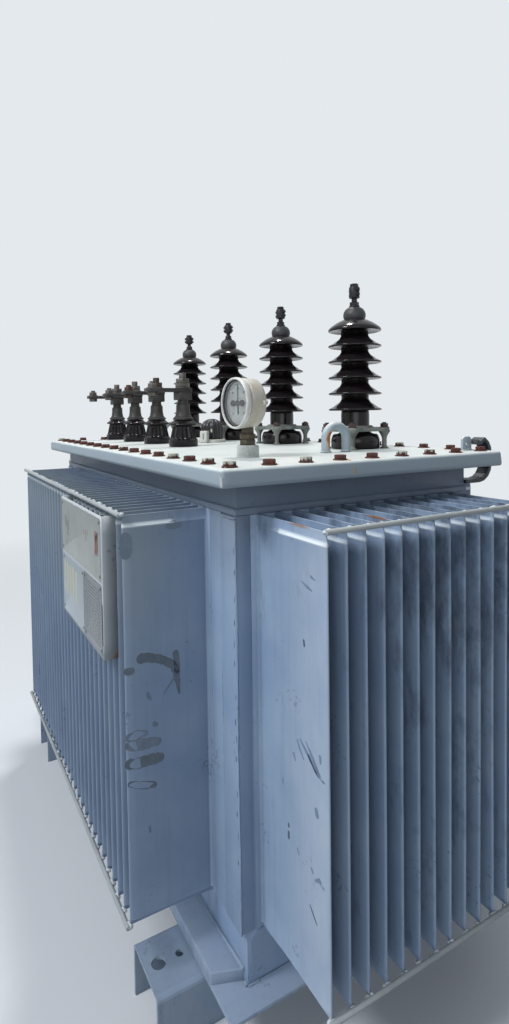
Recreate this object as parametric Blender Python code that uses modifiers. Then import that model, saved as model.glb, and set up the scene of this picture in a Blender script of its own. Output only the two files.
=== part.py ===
# Three-phase distribution transformer: a hermetically sealed tank with corrugated
# cooling walls, a folded lid, four high-voltage and four low-voltage bushings, a dial
# thermometer, a tap changer knob, lifting eyes and a channel base.
# Metres, +Z up. -Y is the front, -X the left side. The origin is the middle of the
# whole part's floor area, on the floor.

import math

import bmesh
import bpy
from mathutils import Matrix, Vector

# Clearances and sheet sizes that several pieces share
seat_gap = 0.0003
cut_overrun = 0.004
wall_sheet = 0.003

# Corrugated walls
fin_pitch = 0.036
front_fin_count = 14
side_fin_count = 29
front_fin_depth = 0.190
side_fin_depth = 0.158
front_corner_strip = 0.048
side_corner_strip = 0.121
wall_end_strip = 0.020
fin_height = 0.725
fin_root_half = 0.0062
fin_body_half = 0.0048
fin_pinch_half = 0.0015
fin_tip_bevel = 0.004
fin_taper_height = 0.024
wall_margin = 0.0104
tie_bar_radius = 0.005
tie_bar_overhang = 0.006
tie_bar_lift = 0.001

# Tank
tank_width = 2 * front_corner_strip + (front_fin_count - 1) * fin_pitch
tank_length = 2 * side_corner_strip + (side_fin_count - 1) * fin_pitch
neck_height = 0.0715
pan_inset = 0.011
pan_end_inset = 0.001
pan_height = 0.105
top_flange_overhang = 0.034
top_flange_height = 0.010
base_plate_overhang = 0.0435
base_plate_thickness = 0.008
side_ledge_height = 0.030
side_ledge_setback = 0.024

# Base channels
channel_width = 0.128
channel_height = 0.100
channel_sheet = 0.006
channel_bend = 0.009
channel_overhang = 0.130
channel_setback = 0.066
lashing_hole_radius = 0.0138
roller_hole_radius = 0.008
lashing_hole_inset = 0.026
hole_spacing = 0.041

# Lid
lid_overhang = 0.051
lid_rim_height = 0.0305
lid_sheet = 0.004
lid_bend = 0.014

# High-voltage bushings
hv_count = 4
hv_spacing = 0.326
hv_from_front = 0.232
hv_from_left = 0.4514
hv_foot_radius = 0.0575
hv_foot_top_radius = 0.052
hv_foot_height = 0.034
hv_foot_side_share = 0.65
hv_body_radius = 0.0335
hv_core_radius = 0.0325
hv_shed_radius = 0.0628
hv_shed_count = 6
hv_sides = 14
hv_top_shed_drop = 0.0288
hv_shed_drop = 0.024
hv_shed_mid_radius = 0.043
hv_shed_mid_share = 0.5
hv_shed_lip = 0.0035
hv_lowest_shed_height = 0.0937
hv_neck_height = 0.310
hv_neck_radius = 0.0175
hv_cap_radius = 0.0265
hv_cap_height = 0.026
hv_cap_shoulder_share = 0.55
hv_cap_mid_share = 0.92
hv_cap_top_share = 0.62
hv_stud_radius = 0.0075
hv_stud_height = 0.056
hv_terminal_width = 0.024
hv_terminal_height = 0.026
hv_terminal_lift = 0.014
clamp_half_width = 0.0615
clamp_corner_radius = 0.017
clamp_thickness = 0.012
clamp_lift = 0.0383
clamp_clearance = 0.0015
clamp_leg_spread = 0.048
clamp_leg_radius = 0.0065
clamp_leg_flare = 0.0135

# Low-voltage bushings
lv_count = 4
lv_spacing = 0.2028
lv_from_front = 0.617
lv_from_left = 0.1697
lv_base_radius = 0.0392
lv_base_height = 0.019
lv_skirt_bottom_radius = 0.0355
lv_skirt_top_radius = 0.0285
lv_skirt_height = 0.040
lv_flute_count = 14
lv_flute_depth = 0.0028
lv_shed_radius = 0.0380
lv_shed_thickness = 0.004
lv_cone_radius = 0.0240
lv_cone_height = 0.009
lv_collar_radius = 0.0275
lv_collar_height = 0.005
lv_body_bottom_radius = 0.0205
lv_body_top_radius = 0.0180
lv_body_height = 0.0375
lv_neck_radius = 0.0140
lv_neck_height = 0.014
lv_neck_seen_share = 0.8
lv_block_half_width = 0.0195
lv_block_height = 0.0205
lv_block_lip = 0.001
lv_flag_length = 0.105
lv_flag_half_width = 0.020
lv_flag_thickness = 0.010
lv_nut_radius = 0.0205
lv_nut_height = 0.0265
lv_stud_radius = 0.0095
lv_stud_height = 0.041

# Dial thermometer
gauge_from_left = 0.108
gauge_from_front = 0.147
socket_radius = 0.022
socket_height = 0.024
stem_radius = 0.0135
stem_collar_radius = 0.0165
stem_height = 0.034
gauge_radius = 0.052
gauge_depth = 0.0505
gauge_bezel_radius = 0.0535
gauge_bezel_depth = 0.010
gauge_recess_depth = 0.014
gauge_rim_width = 0.0045
gauge_back_bevel = 0.006
gauge_offset = 0.009

# Tap changer
knob_from_left = 0.330
knob_from_front = 0.770
knob_radius = 0.0345
knob_height = 0.062
knob_dome_height = 0.028
knob_rib_count = 12
knob_rib_depth = 0.0035
knob_base_radius = 0.042
knob_base_height = 0.010
index_block_length = 0.015
index_block_width = 0.025
index_block_height = 0.036
index_block_clearance = 0.002
index_block_turn = 33.0

# Lifting eyes
eye_from_left = 0.329
eye_from_front = 0.150
eye_bar_radius = 0.0095
eye_span = 0.055
eye_height = 0.0665

# Corner lug and hook
lug_from_left = 0.578
lug_from_front = 0.012
lug_length = 0.028
lug_height = 0.030
lug_thickness = 0.006
lug_corner = 0.006
lug_hole_radius = 0.0045
hook_width = 0.030
hook_thickness = 0.008
hook_reach = 0.024
hook_drop = 0.036
hook_lug_gap = 0.0045

# Nameplate bracket
bracket_first_fin = 1
bracket_fin_span = 9
bracket_height = 0.256
bracket_depth = 0.027
bracket_sheet = 0.002
bracket_bend = 0.003
bracket_from_top = 0.0045

# Heights worked out from the sizes above
pan_bottom = channel_height + seat_gap
walls_bottom = pan_bottom + pan_height
fins_top = walls_bottom + fin_height
walls_top = fins_top + wall_margin
flange_top = walls_top + neck_height
flange_bottom = flange_top - top_flange_height
lid_top = flange_top + seat_gap + lid_sheet
lid_seat = lid_top + seat_gap

# The sheds share the height that is left between the lowest one and the neck
hv_shed_pitch = (hv_neck_height - hv_top_shed_drop - hv_lowest_shed_height) / (hv_shed_count - 1)

# Reach of the part to each side, from which the origin follows
side_reach = tank_width / 2 + side_fin_depth + seat_gap + 2 * tie_bar_radius
left_reach = tank_width / 2 + side_fin_depth + seat_gap + bracket_depth
origin_shift = (left_reach - side_reach) / 2


def clear_scene():
    for old in list(bpy.data.objects):
        bpy.data.objects.remove(old, do_unlink=True)
    for mesh in list(bpy.data.meshes):
        bpy.data.meshes.remove(mesh)


clear_scene()
parts = bpy.data.collections.new("distribution_transformer")
cutters = bpy.data.collections.new("cutters")
bpy.context.scene.collection.children.link(parts)
bpy.context.scene.collection.children.link(cutters)

frame = bpy.data.objects.new("frame", None)
frame.location = (origin_shift, 0.0, 0.0)
parts.objects.link(frame)


def linear(value):
    if value <= 0.04045:
        return value / 12.92
    return ((value + 0.055) / 1.055) ** 2.4


def make_material(name, colour, roughness, metallic=0.0):
    material = bpy.data.materials.new(name)
    material.use_nodes = True
    shader = material.node_tree.nodes["Principled BSDF"]
    channels = [linear(int(colour[i:i + 2], 16) / 255) for i in (0, 2, 4)]
    shader.inputs["Base Color"].default_value = (*channels, 1.0)
    shader.inputs["Roughness"].default_value = roughness
    shader.inputs["Metallic"].default_value = metallic
    return material


tank_paint = make_material("tank_paint", "8A9BB0", 0.45)
lid_paint = make_material("lid_paint", "D5DEDF", 0.45)
porcelain = make_material("porcelain", "33262A", 0.18)
clamp_metal = make_material("clamp_metal", "9CA39A", 0.6, 0.3)
cap_metal = make_material("cap_metal", "7A7F74", 0.5, 0.6)
lug_metal = make_material("lug_metal", "5E5F5F", 0.5, 0.7)
gauge_enamel = make_material("gauge_enamel", "D9D6CC", 0.35)
brass = make_material("brass", "6E6348", 0.45, 0.8)
black_plastic = make_material("black_plastic", "232326", 0.5)
hook_steel = make_material("hook_steel", "3E4044", 0.6, 0.4)
plate_metal = make_material("plate_metal", "A9AFB2", 0.5, 0.5)


def add_part(name, mesh, material, location=(0.0, 0.0, 0.0)):
    part = bpy.data.objects.new(name, mesh)
    part.location = location
    part.parent = frame
    parts.objects.link(part)
    if not mesh.materials:
        mesh.materials.append(material)
    return part


def add_cutter(name, mesh):
    cutter = bpy.data.objects.new(name, mesh)
    cutter.parent = frame
    cutters.objects.link(cutter)
    cutter.hide_render = True
    cutter.display_type = "WIRE"
    return cutter


def mesh_from(bm, name):
    mesh = bpy.data.meshes.new(name)
    bm.to_mesh(mesh)
    bm.free()
    return mesh


def box_mesh(name, low, high):
    bm = bmesh.new()
    bmesh.ops.create_cube(bm, size=1.0)
    low, high = Vector(low), Vector(high)
    size = high - low
    for vert in bm.verts:
        vert.co = Vector([(c + 0.5) * s for c, s in zip(vert.co, size)]) + low
    return mesh_from(bm, name)


def cylinder_mesh(name, radius, low, high, centre=(0.0, 0.0), sides=16, top_radius=None):
    bm = bmesh.new()
    top = radius if top_radius is None else top_radius
    bmesh.ops.create_cone(bm, cap_ends=True, segments=sides, radius1=radius, radius2=top,
                          depth=high - low)
    bmesh.ops.translate(bm, verts=bm.verts, vec=(centre[0], centre[1], (low + high) / 2))
    return mesh_from(bm, name)


def evaluated_mesh(source, name):
    bpy.context.view_layer.update()
    graph = bpy.context.evaluated_depsgraph_get()
    mesh = bpy.data.meshes.new_from_object(source.evaluated_get(graph), depsgraph=graph)
    mesh.name = name
    bm = bmesh.new()
    bm.from_mesh(mesh)
    bmesh.ops.remove_doubles(bm, verts=bm.verts, dist=0.00001)
    bm.to_mesh(mesh)
    bm.free()
    return mesh


def baked(source, name, material):
    mesh = evaluated_mesh(source, name)
    mesh.materials.clear()
    mesh.materials.append(material)
    data = source.data
    bpy.data.objects.remove(source, do_unlink=True)
    if isinstance(data, bpy.types.Curve):
        bpy.data.curves.remove(data)
    return mesh


def combine(part, others, operation="UNION"):
    for number, other in enumerate(others):
        step = part.modifiers.new(f"{operation.lower()}_{number}", "BOOLEAN")
        step.operation = operation
        step.solver = "EXACT"
        step.object = other
    return part


def smooth(part, degrees=35.0):
    part.data.shade_smooth()
    part.data.set_sharp_from_angle(angle=math.radians(degrees))
    return part


def turned_mesh(name, profile, steps, material):
    # The profile runs from the top of the axis down the outer side to the bottom.
    mesh = bpy.data.meshes.new(name + "_profile")
    edges = [(i, i + 1) for i in range(len(profile) - 1)]
    mesh.from_pydata([(radius, 0.0, height) for radius, height in profile], edges, [])
    source = bpy.data.objects.new(name + "_profile", mesh)
    parts.objects.link(source)
    screw = source.modifiers.new("turn", "SCREW")
    screw.steps = steps
    screw.render_steps = steps
    screw.use_merge_vertices = True
    screw.merge_threshold = 0.00001
    screw.use_smooth_shade = True
    return baked(source, name, material)


def outline_mesh(name, outlines, thickness, material):
    # Flat outlines in XY, the first one outer and the rest holes, as one plate.
    curve = bpy.data.curves.new(name, "CURVE")
    curve.dimensions = "2D"
    curve.fill_mode = "BOTH"
    curve.extrude = thickness / 2
    for points in outlines:
        spline = curve.splines.new("POLY")
        spline.points.add(len(points) - 1)
        for target, point in zip(spline.points, points):
            target.co = (point[0], point[1], 0.0, 1.0)
        spline.use_cyclic_u = True
    source = bpy.data.objects.new(name, curve)
    parts.objects.link(source)
    return baked(source, name, material)


def rod_mesh(name, points, radius, material, sides=2):
    curve = bpy.data.curves.new(name, "CURVE")
    curve.dimensions = "3D"
    curve.bevel_depth = radius
    curve.bevel_resolution = sides
    curve.use_fill_caps = True
    spline = curve.splines.new("POLY")
    spline.points.add(len(points) - 1)
    for target, point in zip(spline.points, points):
        target.co = (*point, 1.0)
    source = bpy.data.objects.new(name, curve)
    parts.objects.link(source)
    return baked(source, name, material)


def circle_points(radius, count, centre=(0.0, 0.0)):
    turn = 2 * math.pi / count
    return [(centre[0] + radius * math.cos(i * turn), centre[1] + radius * math.sin(i * turn))
            for i in range(count)]


def arc_points(centre, radius, start, end, count):
    angles = [math.radians(start + (end - start) * i / count) for i in range(count + 1)]
    return [(centre[0] + radius * math.cos(a), centre[1] + radius * math.sin(a)) for a in angles]


def rounded_rectangle(half_x, half_y, radius, steps=4):
    corners = ((1, 1, 0), (-1, 1, 90), (-1, -1, 180), (1, -1, 270))
    points = []
    for side_x, side_y, start in corners:
        centre = (side_x * (half_x - radius), side_y * (half_y - radius))
        points += arc_points(centre, radius, start, start + 90, steps)
    return points


def lid_place(from_left, from_front):
    return (from_left - tank_width / 2, from_front - tank_length / 2)


# Tank

def corner_posts(half_x, half_y):
    # Plain corners that stand flush with the corrugated walls' sheets between them.
    along_x = front_corner_strip - wall_end_strip - seat_gap
    along_y = side_corner_strip - wall_end_strip - seat_gap
    posts = []
    for side_x in (-1, 1):
        for side_y in (-1, 1):
            corner = (side_x * half_x, side_y * half_y)
            inner = (corner[0] - side_x * along_x, corner[1] - side_y * along_y)
            low = (min(corner[0], inner[0]), min(corner[1], inner[1]), walls_bottom)
            high = (max(corner[0], inner[0]), max(corner[1], inner[1]), fins_top + seat_gap)
            posts.append(add_cutter("corner_post", box_mesh("corner_post", low, high)))
    return posts


def side_ledges(half_x, half_y):
    # A bar along each long side, on the base plate and against the pan.
    reach_y = half_y - side_ledge_setback
    ledges = []
    for side in (-1, 1):
        ends = (side * (half_x - pan_inset - cut_overrun), side * (half_x + base_plate_overhang))
        low = (min(ends), -reach_y, pan_bottom)
        high = (max(ends), reach_y, pan_bottom + side_ledge_height)
        ledges.append(add_cutter("side_ledge", box_mesh("side_ledge", low, high)))
    return ledges


def make_tank():
    half_x, half_y = tank_width / 2, tank_length / 2
    backing = wall_sheet + seat_gap
    core = box_mesh("tank_body", (-half_x + backing, -half_y + backing, walls_bottom),
                    (half_x - backing, half_y - backing, walls_top))
    body = add_part("tank_body", core, tank_paint)
    band = box_mesh("upper_band", (-half_x, -half_y, fins_top + seat_gap), (half_x, half_y, walls_top))
    pan = box_mesh("pan", (-half_x + pan_inset, -half_y + pan_end_inset, pan_bottom),
                   (half_x - pan_inset, half_y - pan_end_inset, walls_bottom - seat_gap))
    root = box_mesh("pan_root", (-half_x + pan_inset, -half_y + pan_inset, pan_bottom + cut_overrun),
                    (half_x - pan_inset, half_y - pan_inset, walls_bottom + cut_overrun))
    neck = box_mesh("neck", (-half_x + wall_sheet, -half_y + wall_sheet, walls_top + seat_gap),
                    (half_x - wall_sheet, half_y - wall_sheet, flange_top))
    lead = box_mesh("neck_lead", (-half_x + pan_inset, -half_y + pan_inset, walls_top - cut_overrun),
                    (half_x - pan_inset, half_y - pan_inset, walls_top + neck_height / 2))
    over = top_flange_overhang
    flange = box_mesh("top_flange", (-half_x - over, -half_y - over, flange_bottom),
                      (half_x + over, half_y + over, flange_top))
    over = base_plate_overhang
    plate = box_mesh("base_plate", (-half_x - over, -half_y - over, pan_bottom),
                     (half_x + over, half_y + over, pan_bottom + base_plate_thickness))
    others = [add_cutter(mesh.name, mesh) for mesh in (band, pan, root, lead, neck, flange, plate)]
    combine(body, others + side_ledges(half_x, half_y) + corner_posts(half_x, half_y))


# Corrugated walls

def fin_outline(count, length, depth):
    # Along the wall in X, outwards in Y: the sheet's outer face with a fold at each fin.
    points = [(0.0, -wall_sheet), (length, -wall_sheet), (length, 0.0)]
    for index in reversed(range(count)):
        centre = wall_end_strip + index * fin_pitch
        points.append((centre + fin_root_half, 0.0))
        points.append((centre + fin_body_half, depth - fin_tip_bevel))
        points.append((centre + fin_body_half / 2, depth))
        points.append((centre - fin_body_half / 2, depth))
        points.append((centre - fin_body_half, depth - fin_tip_bevel))
        points.append((centre - fin_root_half, 0.0))
    points.append((0.0, 0.0))
    return points


def pinch_fins(mesh, count):
    # The fins' top and bottom are pressed together and welded: a crease is cut a little
    # way in from each end, and the end itself is drawn in to the fin's middle.
    bm = bmesh.new()
    bm.from_mesh(mesh)
    half = fin_height / 2
    for side in (-1, 1):
        everything = bm.verts[:] + bm.edges[:] + bm.faces[:]
        bmesh.ops.bisect_plane(bm, geom=everything, dist=0.000001,
                               plane_co=(0.0, 0.0, side * (half - fin_taper_height)),
                               plane_no=(0.0, 0.0, 1.0))
    for vert in bm.verts:
        at_end = abs(vert.co.z) > half - fin_taper_height / 2
        along = vert.co.x - wall_end_strip
        index = round(along / fin_pitch)
        offset = along - index * fin_pitch
        on_fin = 0 <= index < count and abs(offset) <= fin_root_half + seat_gap
        if at_end and on_fin and vert.co.y > -wall_sheet / 2:
            vert.co.x -= offset
            vert.co.x += math.copysign(min(abs(offset), fin_pinch_half), offset)
    bmesh.ops.recalc_face_normals(bm, faces=bm.faces)
    bm.to_mesh(mesh)
    bm.free()


def make_fin_wall(side, count, depth, turn, centre):
    length = 2 * wall_end_strip + (count - 1) * fin_pitch
    outline = fin_outline(count, length, depth)
    mesh = outline_mesh(f"{side}_fin_wall", [outline], fin_height, tank_paint)
    pinch_fins(mesh, count)
    place = Matrix.Translation((centre[0], centre[1], walls_bottom + fin_height / 2))
    mesh.transform(place @ Matrix.Rotation(turn, 4, "Z") @ Matrix.Translation((-length / 2, 0.0, 0.0)))
    add_part(f"{side}_fin_wall", mesh, tank_paint)
    reach = depth + seat_gap + tie_bar_radius
    run = (count - 1) * fin_pitch / 2 + tie_bar_overhang
    for level, height in (("upper", fins_top + tie_bar_lift), ("lower", walls_bottom - tie_bar_lift)):
        bar = rod_mesh(f"{side}_{level}_tie_bar", [(-run, reach, 0.0), (run, reach, 0.0)],
                       tie_bar_radius, tank_paint)
        bar.transform(Matrix.Translation((centre[0], centre[1], height)) @ Matrix.Rotation(turn, 4, "Z"))
        smooth(add_part(bar.name, bar, tank_paint))


def make_fin_walls():
    half_x, half_y = tank_width / 2, tank_length / 2
    for side, turn, face in (("front", math.pi, -1), ("back", 0.0, 1)):
        make_fin_wall(side, front_fin_count, front_fin_depth, turn, (0.0, face * half_y))
    for side, turn, face in (("left", math.pi / 2, -1), ("right", -math.pi / 2, 1)):
        make_fin_wall(side, side_fin_count, side_fin_depth, turn, (face * half_x, 0.0))


# Lid

def make_lid():
    bm = bmesh.new()
    bmesh.ops.create_cube(bm, size=1.0)
    size = (tank_width + 2 * lid_overhang, tank_length + 2 * lid_overhang, lid_rim_height)
    bmesh.ops.scale(bm, verts=bm.verts, vec=size)
    bmesh.ops.translate(bm, verts=bm.verts, vec=(0.0, 0.0, lid_top - lid_rim_height / 2))
    underside = [face for face in bm.faces if face.normal.z < -0.5]
    bmesh.ops.delete(bm, geom=underside, context="FACES_ONLY")
    lid = add_part("lid", mesh_from(bm, "lid"), lid_paint)
    bend = lid.modifiers.new("bend", "BEVEL")
    bend.width = lid_bend
    bend.segments = 4
    bend.limit_method = "ANGLE"
    shell = lid.modifiers.new("shell", "SOLIDIFY")
    shell.thickness = lid_sheet
    shell.offset = -1.0
    smooth(lid)


# High-voltage bushings

def hv_porcelain_profile():
    top = hv_neck_height
    points = [(0.0, top), (hv_neck_radius, top)]
    for index in reversed(range(hv_shed_count)):
        rim = hv_lowest_shed_height + index * hv_shed_pitch
        drop = hv_shed_drop
        if index < hv_shed_count - 1:
            points.append((hv_core_radius, rim + drop))
        else:
            drop = hv_top_shed_drop
        points.append((hv_shed_mid_radius, rim + drop * hv_shed_mid_share))
        points.append((hv_shed_radius, rim))
        points.append((hv_core_radius, rim - hv_shed_lip / 2))
    points.append((hv_body_radius, hv_lowest_shed_height - hv_shed_lip))
    points.append((hv_body_radius, hv_foot_height))
    points.append((hv_foot_top_radius, hv_foot_height))
    points.append((hv_foot_radius, hv_foot_height * hv_foot_side_share))
    points.append((hv_foot_radius, 0.0))
    points.append((0.0, 0.0))
    return points


def hv_terminal_profile():
    base = hv_neck_height + seat_gap
    shoulder = base + hv_cap_height * hv_cap_shoulder_share
    stud_top = base + hv_cap_height + hv_stud_height
    points = [(0.0, stud_top), (hv_stud_radius, stud_top)]
    points.append((hv_stud_radius, base + hv_cap_height))
    points.append((hv_cap_radius * hv_cap_top_share, base + hv_cap_height))
    points.append((hv_cap_radius * hv_cap_mid_share, base + (hv_cap_height + shoulder - base) / 2))
    points.append((hv_cap_radius, shoulder))
    points.append((hv_cap_radius, base))
    points.append((0.0, base))
    return points


def clamp_mesh():
    hole = circle_points(hv_body_radius + clamp_clearance, 16)
    outer = rounded_rectangle(clamp_half_width, clamp_half_width, clamp_corner_radius, 3)
    plate = outline_mesh("hv_clamp", [outer, hole], clamp_thickness, clamp_metal)
    middle = clamp_lift + clamp_thickness / 2
    plate.transform(Matrix.Translation((0.0, 0.0, middle)))
    part = add_part("clamp_blank", plate, clamp_metal)
    legs = []
    for side_x in (-1, 1):
        for side_y in (-1, 1):
            centre = (side_x * clamp_leg_spread, side_y * clamp_leg_spread)
            low = clamp_lift - clamp_leg_flare
            post = cylinder_mesh("post", clamp_leg_radius, 0.0, middle, centre, 8)
            flare = cylinder_mesh("flare", clamp_leg_radius, low, clamp_lift + clamp_thickness / 4,
                                  centre, 8, clamp_leg_flare)
            legs += [add_cutter("post", post), add_cutter("flare", flare)]
    combine(part, legs)
    mesh = baked(part, "hv_clamp", clamp_metal)
    for leg in legs:
        bpy.data.objects.remove(leg, do_unlink=True)
    return mesh


def terminal_mesh():
    turned = turned_mesh("hv_terminal", hv_terminal_profile(), 14, cap_metal)
    part = add_part("terminal_blank", turned, cap_metal)
    low = hv_neck_height + hv_cap_height + hv_terminal_lift
    half = hv_terminal_width / 2
    block = box_mesh("block", (-half, -half, low), (half, half, low + hv_terminal_height))
    cutter = add_cutter("terminal_block", block)
    combine(part, [cutter])
    mesh = baked(part, "hv_terminal", cap_metal)
    bpy.data.objects.remove(cutter, do_unlink=True)
    return mesh


def make_hv_bushings():
    body = turned_mesh("hv_porcelain", hv_porcelain_profile(), hv_sides, porcelain)
    meshes = (("hv_porcelain", body, porcelain),
              ("hv_clamp", clamp_mesh(), clamp_metal),
              ("hv_terminal", terminal_mesh(), cap_metal))
    for index in range(hv_count):
        x, y = lid_place(hv_from_left, hv_from_front + index * hv_spacing)
        for name, mesh, material in meshes:
            smooth(add_part(f"{name}_{index + 1}", mesh, material, (x, y, lid_seat)))


# Low-voltage bushings

def lv_porcelain_profile():
    skirt_bottom = lv_base_height
    skirt_top = skirt_bottom + lv_skirt_height
    shed = skirt_top + lv_shed_thickness
    top = shed + lv_cone_height
    return [(0.0, top), (lv_cone_radius, top), (lv_shed_radius, shed), (lv_shed_radius, skirt_top),
            (lv_skirt_top_radius, skirt_top), (lv_skirt_bottom_radius, skirt_bottom),
            (lv_base_radius, skirt_bottom), (lv_base_radius, 0.0), (0.0, 0.0)]


def flute_skirt(mesh):
    bm = bmesh.new()
    bm.from_mesh(mesh)
    step = math.pi / lv_flute_count
    skirt = ((lv_skirt_top_radius, lv_base_height + lv_skirt_height),
             (lv_skirt_bottom_radius, lv_base_height))
    for vert in bm.verts:
        radius = math.hypot(vert.co.x, vert.co.y)
        on_skirt = any(abs(radius - r) < seat_gap and abs(vert.co.z - z) < seat_gap for r, z in skirt)
        column = round(math.atan2(vert.co.y, vert.co.x) / step)
        if on_skirt and column % 2:
            shrink = (radius - lv_flute_depth) / radius
            vert.co.x *= shrink
            vert.co.y *= shrink
    bm.to_mesh(mesh)
    bm.free()


def lv_terminal_profile():
    low = lv_base_height + lv_skirt_height + lv_shed_thickness + lv_cone_height + seat_gap
    collar = low + lv_collar_height
    body = collar + lv_body_height
    neck = body + lv_neck_height
    block = neck + lv_block_height + lv_flag_thickness
    top = block + lv_stud_height
    return [(0.0, top), (lv_stud_radius, top), (lv_stud_radius, neck), (lv_neck_radius, neck),
            (lv_neck_radius, body), (lv_body_top_radius, body), (lv_body_bottom_radius, collar),
            (lv_collar_radius, collar), (lv_collar_radius, low), (0.0, low)]


def lv_terminal_mesh():
    turned = turned_mesh("lv_terminal", lv_terminal_profile(), 12, lug_metal)
    part = add_part("lv_terminal_blank", turned, lug_metal)
    low = lv_base_height + lv_skirt_height + lv_shed_thickness + lv_cone_height + seat_gap
    low += lv_collar_height + lv_body_height + lv_neck_height * lv_neck_seen_share
    half = lv_block_half_width
    block = box_mesh("block", (-half, -half, low), (half, half, low + lv_block_height))
    flag_low = low + lv_block_height - seat_gap
    flag = box_mesh("flag", (-lv_flag_length, -lv_flag_half_width, flag_low),
                    (lv_block_half_width + lv_block_lip, lv_flag_half_width, flag_low + lv_flag_thickness))
    nut_low = flag_low + lv_flag_thickness - seat_gap
    nut = cylinder_mesh("nut", lv_nut_radius, nut_low, nut_low + lv_nut_height, sides=6)
    cutter_objects = [add_cutter(mesh.name, mesh) for mesh in (block, flag, nut)]
    combine(part, cutter_objects)
    mesh = baked(part, "lv_terminal", lug_metal)
    for cutter in cutter_objects:
        bpy.data.objects.remove(cutter, do_unlink=True)
    return mesh


def make_lv_bushings():
    body = turned_mesh("lv_porcelain", lv_porcelain_profile(), 2 * lv_flute_count, porcelain)
    flute_skirt(body)
    terminal = lv_terminal_mesh()
    for index in range(lv_count):
        x, y = lid_place(lv_from_left, lv_from_front + index * lv_spacing)
        smooth(add_part(f"lv_porcelain_{index + 1}", body, porcelain, (x, y, lid_seat)))
        smooth(add_part(f"lv_terminal_{index + 1}", terminal, lug_metal, (x, y, lid_seat)))


# Dial thermometer

def make_gauge():
    x, y = lid_place(gauge_from_left, gauge_from_front)
    top = socket_height + stem_height
    step = socket_height + stem_height / 2
    stem_profile = [(0.0, top), (stem_radius, top), (stem_radius, step), (stem_collar_radius, step),
                    (stem_collar_radius, socket_height), (socket_radius, socket_height),
                    (socket_radius, 0.0), (0.0, 0.0)]
    stem = turned_mesh("gauge_stem", stem_profile, 16, brass)
    smooth(add_part("gauge_stem", stem, brass, (x, y, lid_seat)))
    rim = gauge_bezel_radius
    front = gauge_depth
    well = front - gauge_recess_depth
    inner = rim - gauge_rim_width
    bezel = front - gauge_bezel_depth
    case_profile = [(0.0, well), (inner, well), (inner, front), (rim, front), (rim, bezel),
                    (gauge_radius, bezel), (gauge_radius, gauge_back_bevel),
                    (gauge_radius - gauge_back_bevel, 0.0), (0.0, 0.0)]
    case = turned_mesh("gauge_case", case_profile, 24, gauge_enamel)
    case.transform(Matrix.Rotation(-math.pi / 2, 4, "Y"))
    height = lid_seat + top + seat_gap + gauge_radius
    place = (x - gauge_offset + gauge_depth / 2, y, height)
    smooth(add_part("gauge_case", case, gauge_enamel, place))


# Tap changer

def make_tap_changer():
    x, y = lid_place(knob_from_left, knob_from_front)
    inner = -knob_radius - index_block_clearance
    disc = cylinder_mesh("tap_changer_base", knob_base_radius, 0.0, knob_base_height, sides=24)
    base = add_part("tap_changer_base", disc, lid_paint, (x, y, lid_seat))
    block = box_mesh("index_block", (inner - index_block_length, -index_block_width / 2, 0.0),
                     (inner, index_block_width / 2, index_block_height))
    block.transform(Matrix.Rotation(math.radians(index_block_turn), 4, "Z"))
    cutter = add_cutter("index_block", block)
    cutter.location = (x, y, lid_seat)
    combine(base, [cutter])
    low = knob_base_height + seat_gap
    straight = low + knob_height - knob_dome_height
    dome = arc_points((0.0, 0.0), 1.0, 90, 0, 4)
    points = [(knob_radius * px, straight + knob_dome_height * py) for px, py in dome]
    points[0] = (0.0, points[0][1])
    points += [(knob_radius, low), (0.0, low)]
    knob = turned_mesh("tap_changer_knob", points, 2 * knob_rib_count, black_plastic)
    bm = bmesh.new()
    bm.from_mesh(knob)
    step = math.pi / knob_rib_count
    for vert in bm.verts:
        radius = math.hypot(vert.co.x, vert.co.y)
        column = round(math.atan2(vert.co.y, vert.co.x) / step)
        if radius > knob_radius / 2 and column % 2:
            shrink = (radius - knob_rib_depth) / radius
            vert.co.x *= shrink
            vert.co.y *= shrink
    bm.to_mesh(knob)
    bm.free()
    smooth(add_part("tap_changer_knob", knob, black_plastic, (x, y, lid_seat)))


# Lifting eyes, lug and hook

def make_lifting_eyes():
    radius = eye_span / 2
    straight = eye_height - eye_bar_radius - radius
    arch = arc_points((0.0, straight), radius, 0, 180, 10)
    points = [(radius, 0.0, 0.0)] + [(px, 0.0, pz) for px, pz in arch] + [(-radius, 0.0, 0.0)]
    mesh = rod_mesh("lifting_eye", points, eye_bar_radius, lid_paint)
    x, y = lid_place(eye_from_left, eye_from_front)
    smooth(add_part("front_lifting_eye", mesh, lid_paint, (x, y, lid_seat)))
    smooth(add_part("back_lifting_eye", mesh, lid_paint, (x, -y, lid_seat)))


def make_lug():
    x, y = lid_place(lug_from_left, lug_from_front)
    half = lug_length / 2
    cut = lug_height - lug_corner
    outline = [(-half, 0.0), (half, 0.0), (half, cut), (half - lug_corner, lug_height),
               (lug_corner - half, lug_height), (-half, cut)]
    hole = circle_points(lug_hole_radius, 12, (0.0, lug_height / 2))
    mesh = outline_mesh("corner_lug", [outline, hole], lug_thickness, lid_paint)
    mesh.transform(Matrix.Rotation(math.pi / 2, 4, "X"))
    add_part("corner_lug", mesh, lid_paint, (x, y, lid_seat))


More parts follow.
